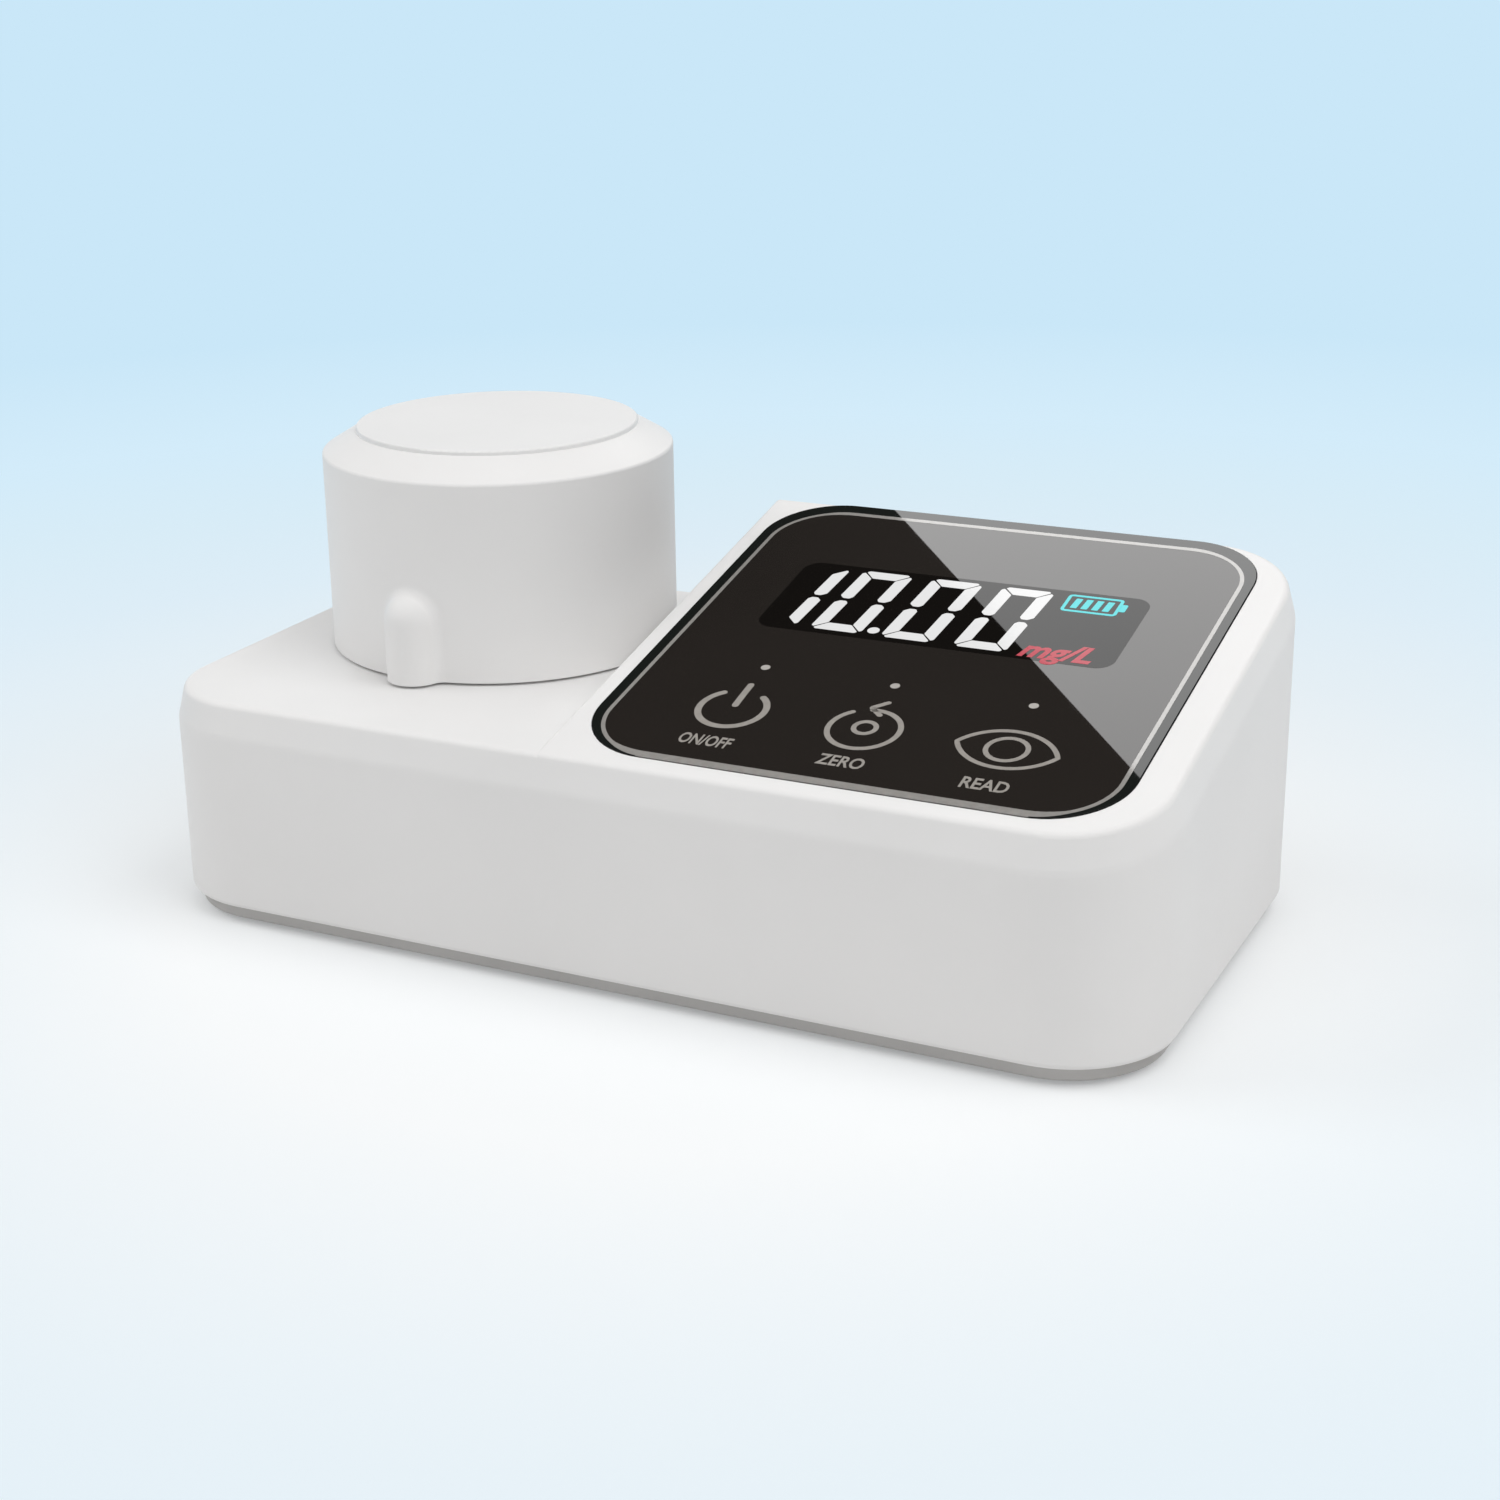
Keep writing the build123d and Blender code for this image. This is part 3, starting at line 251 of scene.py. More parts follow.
@dataclass(frozen=True)
class MaskedBoard(Finish):
    """Glass-fibre board under solder mask: paler lines over copper, and tinned dots at the vias."""

    lie: Lie = Lie.FLAT
    track: str = "#3E8F5F"
    tin: str = "#B9BDB4"
    track_length: float = 7.0
    track_pitch: float = 1.3
    track_width: float = 0.12
    via_pitch: float = 4.5

    def pattern(self, tree: Tree, where: Socket) -> dict[str, Socket]:
        """Draws the copper runs as joints of long thin bricks, and the vias as dots over them."""
        laid = add_node(tree, "Mapping", {
            "Vector": where, "Rotation": tuple(np.radians(self.lie.value))}).outputs[0]
        runs = add_node(tree, "TexBrick", {
            "Vector": laid, "Color1": linear(self.colour), "Color2": linear(self.shade),
            "Mortar": linear(self.track), "Scale": 1.0, "Mortar Size": self.track_width * MM,
            "Mortar Smooth": 0.2, "Brick Width": self.track_length * MM,
            "Row Height": self.track_pitch * MM}, offset=0.37, offset_frequency=3)
        dots = add_node(tree, "TexVoronoi", {"Vector": laid, "Scale": 1 / (self.via_pitch * MM)})
        via = add_node(tree, "MapRange", {
            "Value": dots.outputs["Distance"], "From Min": 0.09, "From Max": 0.11, "To Min": 1.0,
            "To Max": 0.0})
        tint = add_node(tree, "Mix", {
            "Factor": via.outputs[0], MIX_A: runs.outputs[0], MIX_B: linear(self.tin)},
            data_type="RGBA")
        ends = (self.roughness, self.roughness + self.spread)
        return {"Base Color": tint.outputs[MIX_RESULT],
                **self.raised(tree, runs.outputs["Fac"], ends)}


@dataclass(frozen=True)
class Banded(Finish):
    """A surface with bands of a second finish along Y, such as the foils in a flat cable."""

    band: str = "#B98A4A"
    band_metallic: float = 0.0
    pitch: float = 1.0
    share: float = 0.5
    blur: float = 0.06

    def pattern(self, tree: Tree, where: Socket) -> dict[str, Socket]:
        """Sets even bands beside each other, then adds the grain."""
        wave = add_node(tree, "TexWave", {
            "Vector": where, "Scale": 1 / (self.pitch * MM) / WAVE_BANDS, "Distortion": 0.0},
            bands_direction="X")
        edge = add_node(tree, "MapRange", {
            "Value": wave.outputs["Fac"], "From Min": 1 - self.share,
            "From Max": 1 + self.blur - self.share}).outputs[0]
        tint = add_node(tree, "ValToRGB", {"Fac": edge}, ((0.0, self.colour), (1.0, self.band)))
        metal = add_node(tree, "Math", {0: edge, 1: self.band_metallic}, operation="MULTIPLY")
        return {"Base Color": tint.outputs[0], "Metallic": metal.outputs[0],
                **self.grained(tree, where)}


@dataclass(frozen=True)
class Optic(Finish):
    """Clear glass or resin that lets light through, with the faintest tint and polish marks."""

    def uniform(self) -> dict[str, Any]:
        """Gives the values of a clear body."""
        return {"IOR": self.ior, "Transmission Weight": 1.0}


@dataclass(frozen=True)
class Lit(Finish):
    """A printed window with a lamp behind it: it glows in its own colour and is smooth as glass."""

    glow: str = "#FFFFFF"

    def uniform(self) -> dict[str, Any]:
        """Gives the values of the glow."""
        return {"IOR": self.ior, "Emission Color": linear(self.glow), "Emission Strength": 1.0}


@dataclass(frozen=True)
class TopFaced(Finish):
    """A sleeve round the sides with bare metal on the top and bottom faces, as capacitors have."""

    top: str = "#C9CCCC"

    def pattern(self, tree: Tree, where: Socket) -> dict[str, Socket]:
        """Shows the metal where the face looks up or down, and the sleeve elsewhere."""
        normal = add_node(tree, "NewGeometry").outputs["Normal"]
        facing = add_node(tree, "SeparateXYZ", {"Vector": normal})
        up = add_node(tree, "Math", {0: facing.outputs["Z"]}, operation="ABSOLUTE")
        bare = add_node(tree, "MapRange", {
            "Value": up.outputs[0], "From Min": 0.75, "From Max": 0.8}).outputs[0]
        tint = add_node(tree, "ValToRGB", {"Fac": bare}, ((0.0, self.colour), (1.0, self.top)))
        return {"Base Color": tint.outputs[0], "Metallic": bare, **self.grained(tree, where)}


# White ABS from a spark-eroded mould: an even, very fine matt grain that spreads every highlight.
WHITE_ABS = Finish("white_moulded_abs", "#F1F0EF", "#EEEDEC", 0.5, 0.05, 1.53, grain=0.7,
                   depth=0.003, cloud=45.0)
# Grey ABS from a coarser mould: dull, so the strip under the body reads as its shadow.
GREY_ABS = Finish("grey_moulded_abs", "#C2C0BE", "#BAB8B6", 0.6, 0.06, 1.53, grain=0.9, depth=0.012)
# Black glass-filled nylon: kept dull so that it throws no stray light into the sample.
BLACK_NYLON = Finish("black_matt_nylon", "#202122", "#1A1B1C", 0.68, 0.06, 1.53, grain=0.5,
                     depth=0.01)
# Cut polyethylene foam: open pits, each darkened towards its middle by painted shade.
BLACK_FOAM = Foam("black_closed_cell_foam", "#2E2F31", "#141415", 0.9, 0.08, 1.45, depth=0.05)
# Nitrile rubber: soft, dull, with the bloom of fine talc.
GREY_RUBBER = Finish("grey_nitrile_rubber", "#4B4E50", "#434648", 0.82, 0.05, 1.52, grain=0.4,
                     depth=0.01, cloud=6.0)
# Glass printed black on its back: a hard, level shine over a deep colour with no grain.
PANEL_GLASS = Finish("black_printed_glass", "#1B1E1C", "#191C1A", 0.01, 0.004, 1.39, grain=9.0,
                     depth=0.0001, cloud=60.0)
# The same glass over a warmer, thinner print, inside the border line.
FIELD_GLASS = Finish("warm_black_printed_glass", "#292522", "#272320", 0.01, 0.004, 1.5, grain=9.0,
                     depth=0.0001, cloud=60.0)
# Smoked window over the display: it lies deeper, so it mirrors less than the glass round it.
WINDOW_GLASS = Finish("smoked_display_window", "#14110F", "#12100E", 0.01, 0.004, 1.27, grain=9.0,
                      depth=0.0001, cloud=60.0)
# Screen ink seen through the glass: flat pigment with the faint speckle of the mesh.
GREY_INK = Finish("grey_screen_ink", "#A8A39D", "#9F9A94", 0.04, 0.01, 1.5, grain=0.3, depth=0.0002,
                  cloud=1.2)
# The border line's paler ink lies close under the surface, so it catches more of the light.
LINE_INK = Finish("pale_grey_screen_ink", "#A09D99", "#989591", 0.04, 0.01, 1.8, grain=0.3,
                  depth=0.0002, cloud=1.2)
# Lit segments: white, cyan and red light through the smoked window, dark where the light is off.
WHITE_LIGHT = Lit("white_lit_segment", "#4A4A4A", "#464646", 0.1, 0.02, 1.3, cloud=2.0,
                  glow="#DEDEDE")
CYAN_LIGHT = Lit("cyan_lit_symbol", "#1F7377", "#1C6B6F", 0.1, 0.02, 1.3, cloud=2.0, glow="#32BCC0")
RED_LIGHT = Lit("red_lit_symbol", "#742029", "#6B1D26", 0.1, 0.02, 1.3, cloud=2.0, glow="#A22A3B")
# Frosted window of a key's lamp: pale by daylight and faintly lit.
INDICATOR_LIGHT = Lit("pale_indicator_window", "#96938F", "#8C8985", 0.1, 0.02, 1.5, cloud=0.8,
                      glow="#76736F")
# Zinc-plated steel: bright and slightly streaked.
PLATED_STEEL = Finish("zinc_plated_steel", "#C6C8C9", "#B4B7B9", 0.3, 0.08, metallic=1.0,
                      grain=0.35, cloud=2.5)
# Transfer-moulded epoxy of chips: charcoal, with a fine sparkle of filler.
CHIP_EPOXY = Finish("black_moulded_epoxy", "#242527", "#1D1E20", 0.55, 0.06, 1.55, grain=0.25,
                    depth=0.006, cloud=4.0)
# Natural nylon of sockets and lamp bodies: creamy and half glossy.
CREAM_NYLON = Finish("cream_nylon", "#E9E2CE", "#E0D8C1", 0.45, 0.05, 1.53, grain=0.5, depth=0.006,
                     cloud=5.0)
# Black polycarbonate of the display's case: darker and glossier than the mouldings round it.
DISPLAY_BODY = Finish("black_display_body", "#101113", "#0B0C0E", 0.25, 0.05, 1.5, grain=1.2,
                      depth=0.003, cloud=20.0)
# Polished crown glass and cast resin: clear, the resin with slight waves from its mould.
CROWN_GLASS = Optic("polished_crown_glass", "#F4F8F7", "#ECF3F1", 0.02, 0.01, 1.52, cloud=4.0,
                    depth=0.0002)
CLEAR_RESIN = Optic("clear_cast_resin", "#EEF2F2", "#E4EAEA", 0.06, 0.02, 1.54, cloud=2.0,
                    depth=0.0006)
# Thin gold over a stamped can: warm and softly glossy.
GOLD_CAN = Finish("gold_flashed_metal_can", "#D9B56A", "#C79F55", 0.25, 0.06, metallic=1.0,
                  grain=0.4, depth=0.003, cloud=2.0)
# Shrunk sleeve on an aluminium can: dark blue sides and bright ends.
CAN_SLEEVE = TopFaced("can_with_dark_sleeve", "#2A2E44", "#23263A", 0.35, 0.08, grain=0.5,
                      depth=0.006)
# Aluminium laminate pouch: silvery, softly creased where it was drawn over the cell.
POUCH_FOIL = Finish("aluminium_laminate_pouch", "#B8BEC4", "#A6ADB4", 0.36, 0.08, metallic=0.85,
                    grain=3.5, depth=0.12, cloud=18.0)
# Extruded PVC of the leads: plain colour with a dull shine.
RED_SLEEVE = Finish("red_pvc_sleeve", "#A9302C", "#962823", 0.45, 0.06, 1.53, grain=0.5, depth=0.01,
                    cloud=6.0)
GREY_SLEEVE = Finish("grey_pvc_sleeve", "#6D7073", "#606366", 0.45, 0.06, 1.53, grain=0.5,
                     depth=0.01, cloud=6.0)
# Flat cable: copper foils under clear film, one every millimetre.
FOIL_FILM = Banded("flat_foil_cable", "#E4DFD2", "#DBD5C6", 0.35, 0.05, 1.55, depth=0.003,
                   band="#B98A5A", band_metallic=0.7, pitch=1.0, share=0.55)
# Green solder mask on glass fibre, one finish for each way that a board lies.
FLAT_BOARD, SLOPED_BOARD, SIDE_BOARD = (
    MaskedBoard("green_solder_mask_" + lie.name.lower(), "#1F6B43", "#1B6340", 0.3, 0.1, 1.52,
                depth=0.02, lie=lie) for lie in Lie)


@dataclass(frozen=True)
class Solid:
    """A closed surface: its points, and its faces as rows of point numbers."""

    points: Array
    faces: list[list[int]]

    @staticmethod
    def lathe(rings: Array, closed: bool = False) -> "Solid":
        """Skins a stack of rings, each joined to the next by one row of quads.

        Args:
            rings: points as (ring, place on the ring, xyz).
            closed: joins the last ring to the first, instead of closing both with one face each.

        Returns:
            The skinned solid.
        """
        count, around = rings.shape[:2]
        spans = count if closed else count - 1
        row, place = np.meshgrid(np.arange(spans), np.arange(around), indexing="ij")
        nxt, above = (place + 1) % around, (row + 1) % count
        quads = np.stack([row * around + place, row * around + nxt, above * around + nxt,
                          above * around + place], axis=-1).reshape(-1, 4).tolist()
        if not closed:
            quads.append(list(range(around))[::-1])
            quads.append(list(range((count - 1) * around, count * around)))
        return Solid(rings.reshape(-1, 3), quads)

    @staticmethod
    def joined(solids: Iterable["Solid"]) -> "Solid":
        """Puts several solids into one, one after another."""
        points: list[Array] = []
        faces: list[list[int]] = []
        start = 0
        for solid in solids:
            points.append(solid.points)
            faces += [[number + start for number in face] for face in solid.faces]
            start += len(solid.points)
        return Solid(np.concatenate(points), faces)


def slab(outline: Array, heights: Pair) -> Solid:
    """Raises an outline into a slab.

    Args:
        outline: points in order, as (number, uv).
        heights: those of the under side and of the top.

    Returns:
        The slab, in the outline's own units.
    """
    rings = [np.column_stack([outline, np.full(len(outline), level)]) for level in heights]
    return Solid.lathe(np.stack(rings))


def ribbon(path: Array, width: float | Array, heights: Pair, closed: bool = False) -> Solid:
    """Carries a flat rectangular section along a path, with round ends where the path is open.

    At each point the section's corners stand half a width to either side of the path, square to it.
    An open path is led on at both ends by half a width while the section narrows as a half circle.

    Args:
        path: points in order, as (number, uv).
        width: width of the ribbon; a closed one may have another at each point.
        heights: those of the under side and of the top.
        closed: joins the end to the start.

    Returns:
        The ribbon, in the path's own units.
    """
    half = np.full(len(path), width / 2)
    if not closed:
        swing = np.linspace(0, np.pi / 2, END_STEPS)[1:]
        start = (path[0] - path[1]) / np.linalg.norm(path[0] - path[1])
        end = (path[-1] - path[-2]) / np.linalg.norm(path[-1] - path[-2])
        reach = np.sin(swing)[:, None] * width / 2
        taper = np.cos(swing) * width / 2
        path = np.concatenate([(path[0] + start * reach)[::-1], path, path[-1] + end * reach])
        half = np.concatenate([taper[::-1], half, taper])
        along = np.gradient(path, axis=0)
    else:
        along = np.roll(path, -1, axis=0) - np.roll(path, 1, axis=0)
    side = np.stack([-along[:, 1], along[:, 0]], axis=1)
    side /= np.linalg.norm(along, axis=1, keepdims=True)
    out, inn = path + side * half[:, None], path - side * half[:, None]
    low, high = heights
    corners = [np.column_stack([line, np.full(len(path), level)])
               for line, level in ((inn, low), (out, low), (out, high), (inn, high))]
    return Solid.lathe(np.stack(corners, axis=1), closed)


def rounded_box(left: float, right: float, front: float, back: float, corner: float,
                steps: int = 12) -> Array:
    """Gives a rectangle with round corners: a quarter circle about each corner's centre in turn."""
    swing = np.linspace(0, np.pi / 2, steps)
    centres = ((right - corner, back - corner), (left + corner, back - corner),
               (left + corner, front + corner), (right - corner, front + corner))
    turns = [swing + quarter * np.pi / 2 for quarter in range(4)]
    return np.concatenate([
        np.array(centre) + corner * np.stack([np.cos(turn), np.sin(turn)], axis=1)
        for centre, turn in zip(centres, turns)])


def arc(centre: Sequence[float], radius: float, start: float, end: float, steps: int = 48) -> Array:
    """Gives the points of a circular arc, with angles in degrees from the u axis."""
    turn = np.radians(np.linspace(start, end, steps))
    return np.array(centre) + radius * np.stack([np.cos(turn), np.sin(turn)], axis=1)


def softened(corners: Array, radius: float, steps: int = 4) -> Array:
    """Rounds a polygon: each corner becomes the curve from radius before it to radius after it.

    The curve is the parabola that touches both sides at its ends.
    """
    before, after = np.roll(corners, 1, axis=0) - corners, np.roll(corners, -1, axis=0) - corners
    first = corners + before / np.linalg.norm(before, axis=1, keepdims=True) * radius
    last = corners + after / np.linalg.norm(after, axis=1, keepdims=True) * radius
    share = np.linspace(0, 1, steps)[None, :, None]
    curve = ((1 - share) ** 2 * first[:, None] + 2 * share * (1 - share) * corners[:, None]
             + share ** 2 * last[:, None])
    return curve.reshape(-1, 2)


def linked(name: str, data: bpy.types.ID) -> bpy.types.Object:
    """Makes an object of some data and links it into the scene."""
    thing = bpy.data.objects.new(name, data)
    bpy.context.scene.collection.objects.link(thing)
    return thing


def lettering(words: str, spot: Quad, heights: Pair, lean: float = 0.0,
              weight: float = 0.0) -> Solid:
    """Sets generic words in the plain built-in face, fitted to the spot that they may fill.

    Args:
        words: the words.
        spot: left of the first letter, right of the last, their base line and the top of a capital.
        heights: those of the under side and of the top.
        lean: slant of the letters.
        weight: thickening of the strokes.

    Returns:
        The letters as one solid.
    """
    (left, right, base, top), (low, high) = spot, heights
    half_depth, curve_steps = 0.5, 3
    shapes = []
    for text in (words, "L"):
        curve = bpy.data.curves.new("lettering", "FONT")
        curve.body, curve.shear, curve.offset = text, lean, weight
        curve.extrude, curve.resolution_u = half_depth, curve_steps
        holder = linked("lettering", curve)
        bpy.context.view_layer.update()
        depsgraph = bpy.context.evaluated_depsgraph_get()
        mesh = bpy.data.meshes.new_from_object(holder.evaluated_get(depsgraph))
        points = np.empty(len(mesh.vertices) * 3)
        mesh.vertices.foreach_get("co", points)
        shapes.append((points.reshape(-1, 3), [list(face.vertices) for face in mesh.polygons]))
        bpy.data.objects.remove(holder)
        bpy.data.curves.remove(curve)
        bpy.data.meshes.remove(mesh)
    (points, faces), (capital, _) = shapes
    span = np.ptp(points[:, 0])
    across = left + (points[:, 0] - points[:, 0].min()) * (right - left) / span
    up = base + points[:, 1] * (top - base) / capital[:, 1].max()
    height = low + (points[:, 2] + half_depth) * (high - low)
    return Solid(np.column_stack([across, up, height]), faces)


def put(name: str, solid: Solid, finish: Finish, body: Body) -> None:
    """Makes a solid a flat-shaded piece of the meter.

    Args:
        name: the piece's name.
        solid: its surface, in metres in the frame.
        finish: its finish.
        body: the body that it moves with.
    """
    mesh = bpy.data.meshes.new(name)
    mesh.from_pydata(solid.points.tolist(), [], solid.faces)
    work = bmesh.new()
    work.from_mesh(mesh)
    bmesh.ops.remove_doubles(work, verts=work.verts, dist=MERGE_DISTANCE)
    bmesh.ops.dissolve_degenerate(work, edges=work.edges, dist=SHORTEST_EDGE)
    bmesh.ops.recalc_face_normals(work, faces=work.faces)
    work.to_mesh(mesh)
    work.free()
    mesh.materials.append(finish.material())
    piece = linked(name, mesh)
    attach(piece, body.value)
    LOG.info("%s: %d faces, %s", name, len(mesh.polygons), finish.name)


@dataclass(frozen=True)
class Assembly:
    """CAD nodes that belong together, by the finish they get, and those that no mirror shows."""

    finishes: dict[Finish, str]
    unmirrored: str = ""

    def dress(self, frame: dict[str, Any]) -> None:
        """Gives the carried-over nodes their finishes in order, and leaves their meshes alone."""
        for finish, names in self.finishes.items():
            for name in names.split():
                slots = frame["nodes"][name].data.materials
                slots.clear()
                slots.append(finish.material())
                LOG.info("%s: CAD node, %s", name, finish.name)
        for name in self.unmirrored.split():
            frame["nodes"][name].visible_glossy = False


# The body with its plate, feet and screws; the lift-off cap, whose image stays off the glass, with
# its gasket; the sample well with its light path; the boards, leads and cell; and the touch glass.
ASSEMBLIES = (
    Assembly({WHITE_ABS: "upper_housing", GREY_ABS: "bottom_cover", GREY_RUBBER: "rubber_feet",
              PLATED_STEEL: "housing_screws"}),
    Assembly({WHITE_ABS: "light_cap", BLACK_NYLON: "cap_liner", BLACK_FOAM: "cap_seat_gasket"},
             unmirrored="light_cap cap_liner"),
    Assembly({BLACK_NYLON: "cuvette_well led_holder filter_ring",
              PLATED_STEEL: "well_screws source_screws detector_screws",
              CROWN_GLASS: "condenser_lens optical_filter", CLEAR_RESIN: "source_led",
              GOLD_CAN: "photodiode"}),
    Assembly({FLAT_BOARD: "main_board", SLOPED_BOARD: "display_board",
              SIDE_BOARD: "source_board detector_board",
              PLATED_STEEL: "main_board_screws display_board_screws usb_socket",
              CHIP_EPOXY: "board_chips", BLACK_NYLON: "buzzer", CAN_SLEEVE: "capacitors",
              CREAM_NYLON: "board_connectors sensor_connectors ribbon_sockets indicator_leds",
              POUCH_FOIL: "battery_pack", BLACK_FOAM: "battery_tape panel_adhesive",
              RED_SLEEVE: "battery_lead", GREY_SLEEVE: "source_lead detector_lead",
              FOIL_FILM: "display_ribbon", DISPLAY_BODY: "display_module",
              CLEAR_RESIN: "light_pipes", GREY_RUBBER: "touch_pads"}),
    Assembly({PANEL_GLASS: "panel_glass"}))


@dataclass
class Slope:
    """The panel's own axes: u across the meter, v up the slope and a height off the glass."""

    origin: Array
    across: Array
    upward: Array
    normal: Array

    @staticmethod
    def of_panel(panel: bpy.types.Object, edge: Sequence[float]) -> "Slope":
        """Reads the axes from the panel's widest face that looks up.

        The origin is the point of the panel's top plane nearest to the edge point, u runs along X,
        and v is square to u and to the plane's normal.

        Args:
            panel: the CAD panel.
            edge: a point of the facet's upper edge below the slope, in millimetres.

        Returns:
            The axes, with their origin where u and v are nought.
        """
        looks_up, same_way = 0.5, 0.9999
        mesh = panel.data
        count = len(mesh.polygons)
        normals, areas, centres = np.empty(count * 3), np.empty(count), np.empty(count * 3)
        mesh.polygons.foreach_get("normal", normals)
        mesh.polygons.foreach_get("area", areas)
        mesh.polygons.foreach_get("center", centres)
        normals, centres = normals.reshape(-1, 3), centres.reshape(-1, 3)
        widest = normals[np.argmax(areas * (normals[:, 2] > looks_up))]
        normal = widest / np.linalg.norm(widest)
        height = (centres[normals @ normal > same_way] @ normal).max() / MM
        corner = np.array(edge, float)
        across = np.array([1.0, 0.0, 0.0])
        return Slope(corner + normal * (height - corner @ normal), across, np.cross(normal, across),
                     normal)

    def place(self, local: Array) -> Array:
        """Turns rows of u, v and height in millimetres to points in the frame in metres."""
        return (self.origin + local[:, :1] * self.across + local[:, 1:2] * self.upward
                + local[:, 2:3] * self.normal) * MM

    def lay(self, name: str, solids: Iterable[Solid], finish: Finish, slot: str) -> None:
        """Lays solids made in u, v and height on the slope, as one piece that rides on the base."""
        whole = Solid.joined(solids)
        put(name, Solid(self.place(whole.points), whole.faces), finish, Body.BASE)


@dataclass
class Display:
    """The lit display: a smoked window with figures of seven segments, a battery symbol and a unit.

    Heights are those of an under side and of a top.
    """

    slot: str = "display_black"
    window: Box = (5.7, 72.1, 49.8, 75.0, 3.2)
    window_heights: Pair = (-0.05, 0.04)
    lit_heights: Pair = (0.0, 0.06)
    figures: tuple[str, ...] = ("bc", "abcdef", "abcdef", "abcdef")
    figure_shifts: tuple[float, ...] = (1.05, 0.0, 0.0, 0.0)
    figure_base: float = 51.3
    figure_height: float = 22.5
    figure_width: float = 9.75
    figure_pitch: float = 13.55
    first_left: float = 2.45
    stroke: float = 2.5
    mitre: float = 0.17
    tip_mitres: float = 1.4
    trim: float = 0.9
    waist: float = 0.5
    blunt: float = 0.85
    inner_blunt: Pair = (0.6, 0.8)
    slant: float = 1.5
    softening: float = 0.22
    point: Pair = (27.75, 53.0)
    point_turn: Turn = (1.1, 0.0, 345.0, 24)
    case: Box = (57.3, 66.9, 68.1, 73.6, 0.5)
    case_line: float = 0.62
    stud: Box = (67.1, 68.3, 69.6, 72.2, 0.3)
    bar: Path = ((-0.65, 69.1), (0.55, 69.1), (0.8, 72.6), (-0.4, 72.6))
    bar_places: tuple[float, ...] = (59.1, 61.05, 63.0, 64.95)
    unit_spot: Quad = (55.1, 68.2, 50.9, 56.2)

    def segments(self, lit: str) -> list[Array]:
        """Gives the outlines of the lit segments of one upright figure that starts at u nought.

        The figure's rectangle is cut by mitres at its four corners, each drawn back by the mitre's
        half gap, and a line across each corner, from trim before it to trim after it, takes its tip
        off. Every upright stops a waist short of mid height and is blunted at both corners there.

        Args:
            lit: letters a to f, clockwise from the top bar.

        Returns:
            One outline for each lit segment.
        """
        wide, tall, stroke = self.figure_width, self.figure_height, self.stroke
        gap, blunt, trim = self.mitre, self.blunt, self.trim
        end, tip = tall / 2 + self.waist, trim / 2 + gap * self.tip_mitres
        bar = np.array([(trim + gap, tall), (wide - trim - gap, tall),
                        (wide - tip, tall - trim / 2), (wide - stroke - gap, tall - stroke),
                        (stroke + gap, tall - stroke), (tip, tall - trim / 2)])
        post = np.array([(wide, tall - trim - gap), (wide, end + blunt), (wide - blunt, end),
                         (wide - stroke + blunt * self.inner_blunt[0], end),
                         (wide - stroke, end + blunt * self.inner_blunt[1]),
                         (wide - stroke, tall - stroke - gap), (wide - trim / 2, tall - tip)])
        over, flip = np.array([wide, 0.0]), np.array([-1.0, 1.0])
        drop, turn = np.array([0.0, tall]), np.array([1.0, -1.0])
        shapes = {"a": bar, "b": post, "c": drop + post * turn, "d": drop + bar * turn,
                  "e": over + (drop + post * turn) * flip, "f": over + post * flip}
        return [shapes[letter] for letter in lit]

    def leaned(self, outline: Array, left: float) -> Array:
        """Moves an outline to its place and leans it: u grows with the height above the base."""
        across, up = outline.T
        return np.column_stack([left + across + up * self.slant / self.figure_height,
                                self.figure_base + up])

    def build(self, slope: Slope) -> None:
        """Lays the window, the figures, the point, the battery symbol and the unit on the glass."""
        window = slab(rounded_box(*self.window), self.window_heights)
        slope.lay("display_window", [window], WINDOW_GLASS, self.slot)
        segments = []
        for number, (lit, shift) in enumerate(zip(self.figures, self.figure_shifts)):
            left = self.first_left + self.figure_pitch * number + shift
            segments += [
                slab(softened(self.leaned(outline, left), self.softening), self.lit_heights)
                for outline in self.segments(lit)]
        slope.lay("digit_segments", segments, WHITE_LIGHT, self.slot)
        point = slab(arc(self.point, *self.point_turn), self.lit_heights)
        slope.lay("decimal_point", [point], WHITE_LIGHT, self.slot)
        slope.lay("battery_symbol", self.battery(), CYAN_LIGHT, self.slot)
        unit = lettering("mg/L", self.unit_spot, self.lit_heights, lean=0.32, weight=0.03)
        slope.lay("unit_text", [unit], RED_LIGHT, self.slot)

    def battery(self) -> list[Solid]:
        """Draws the battery symbol: an outlined case with its stud, and four charge bars inside."""
        case, stud = rounded_box(*self.case, steps=4), rounded_box(*self.stud, steps=4)
        bars = [softened(np.array(self.bar) + (u, 0.0), radius=0.15) for u in self.bar_places]
        return [ribbon(case, self.case_line, self.lit_heights, closed=True),
                *(slab(outline, self.lit_heights) for outline in (stud, *bars))]


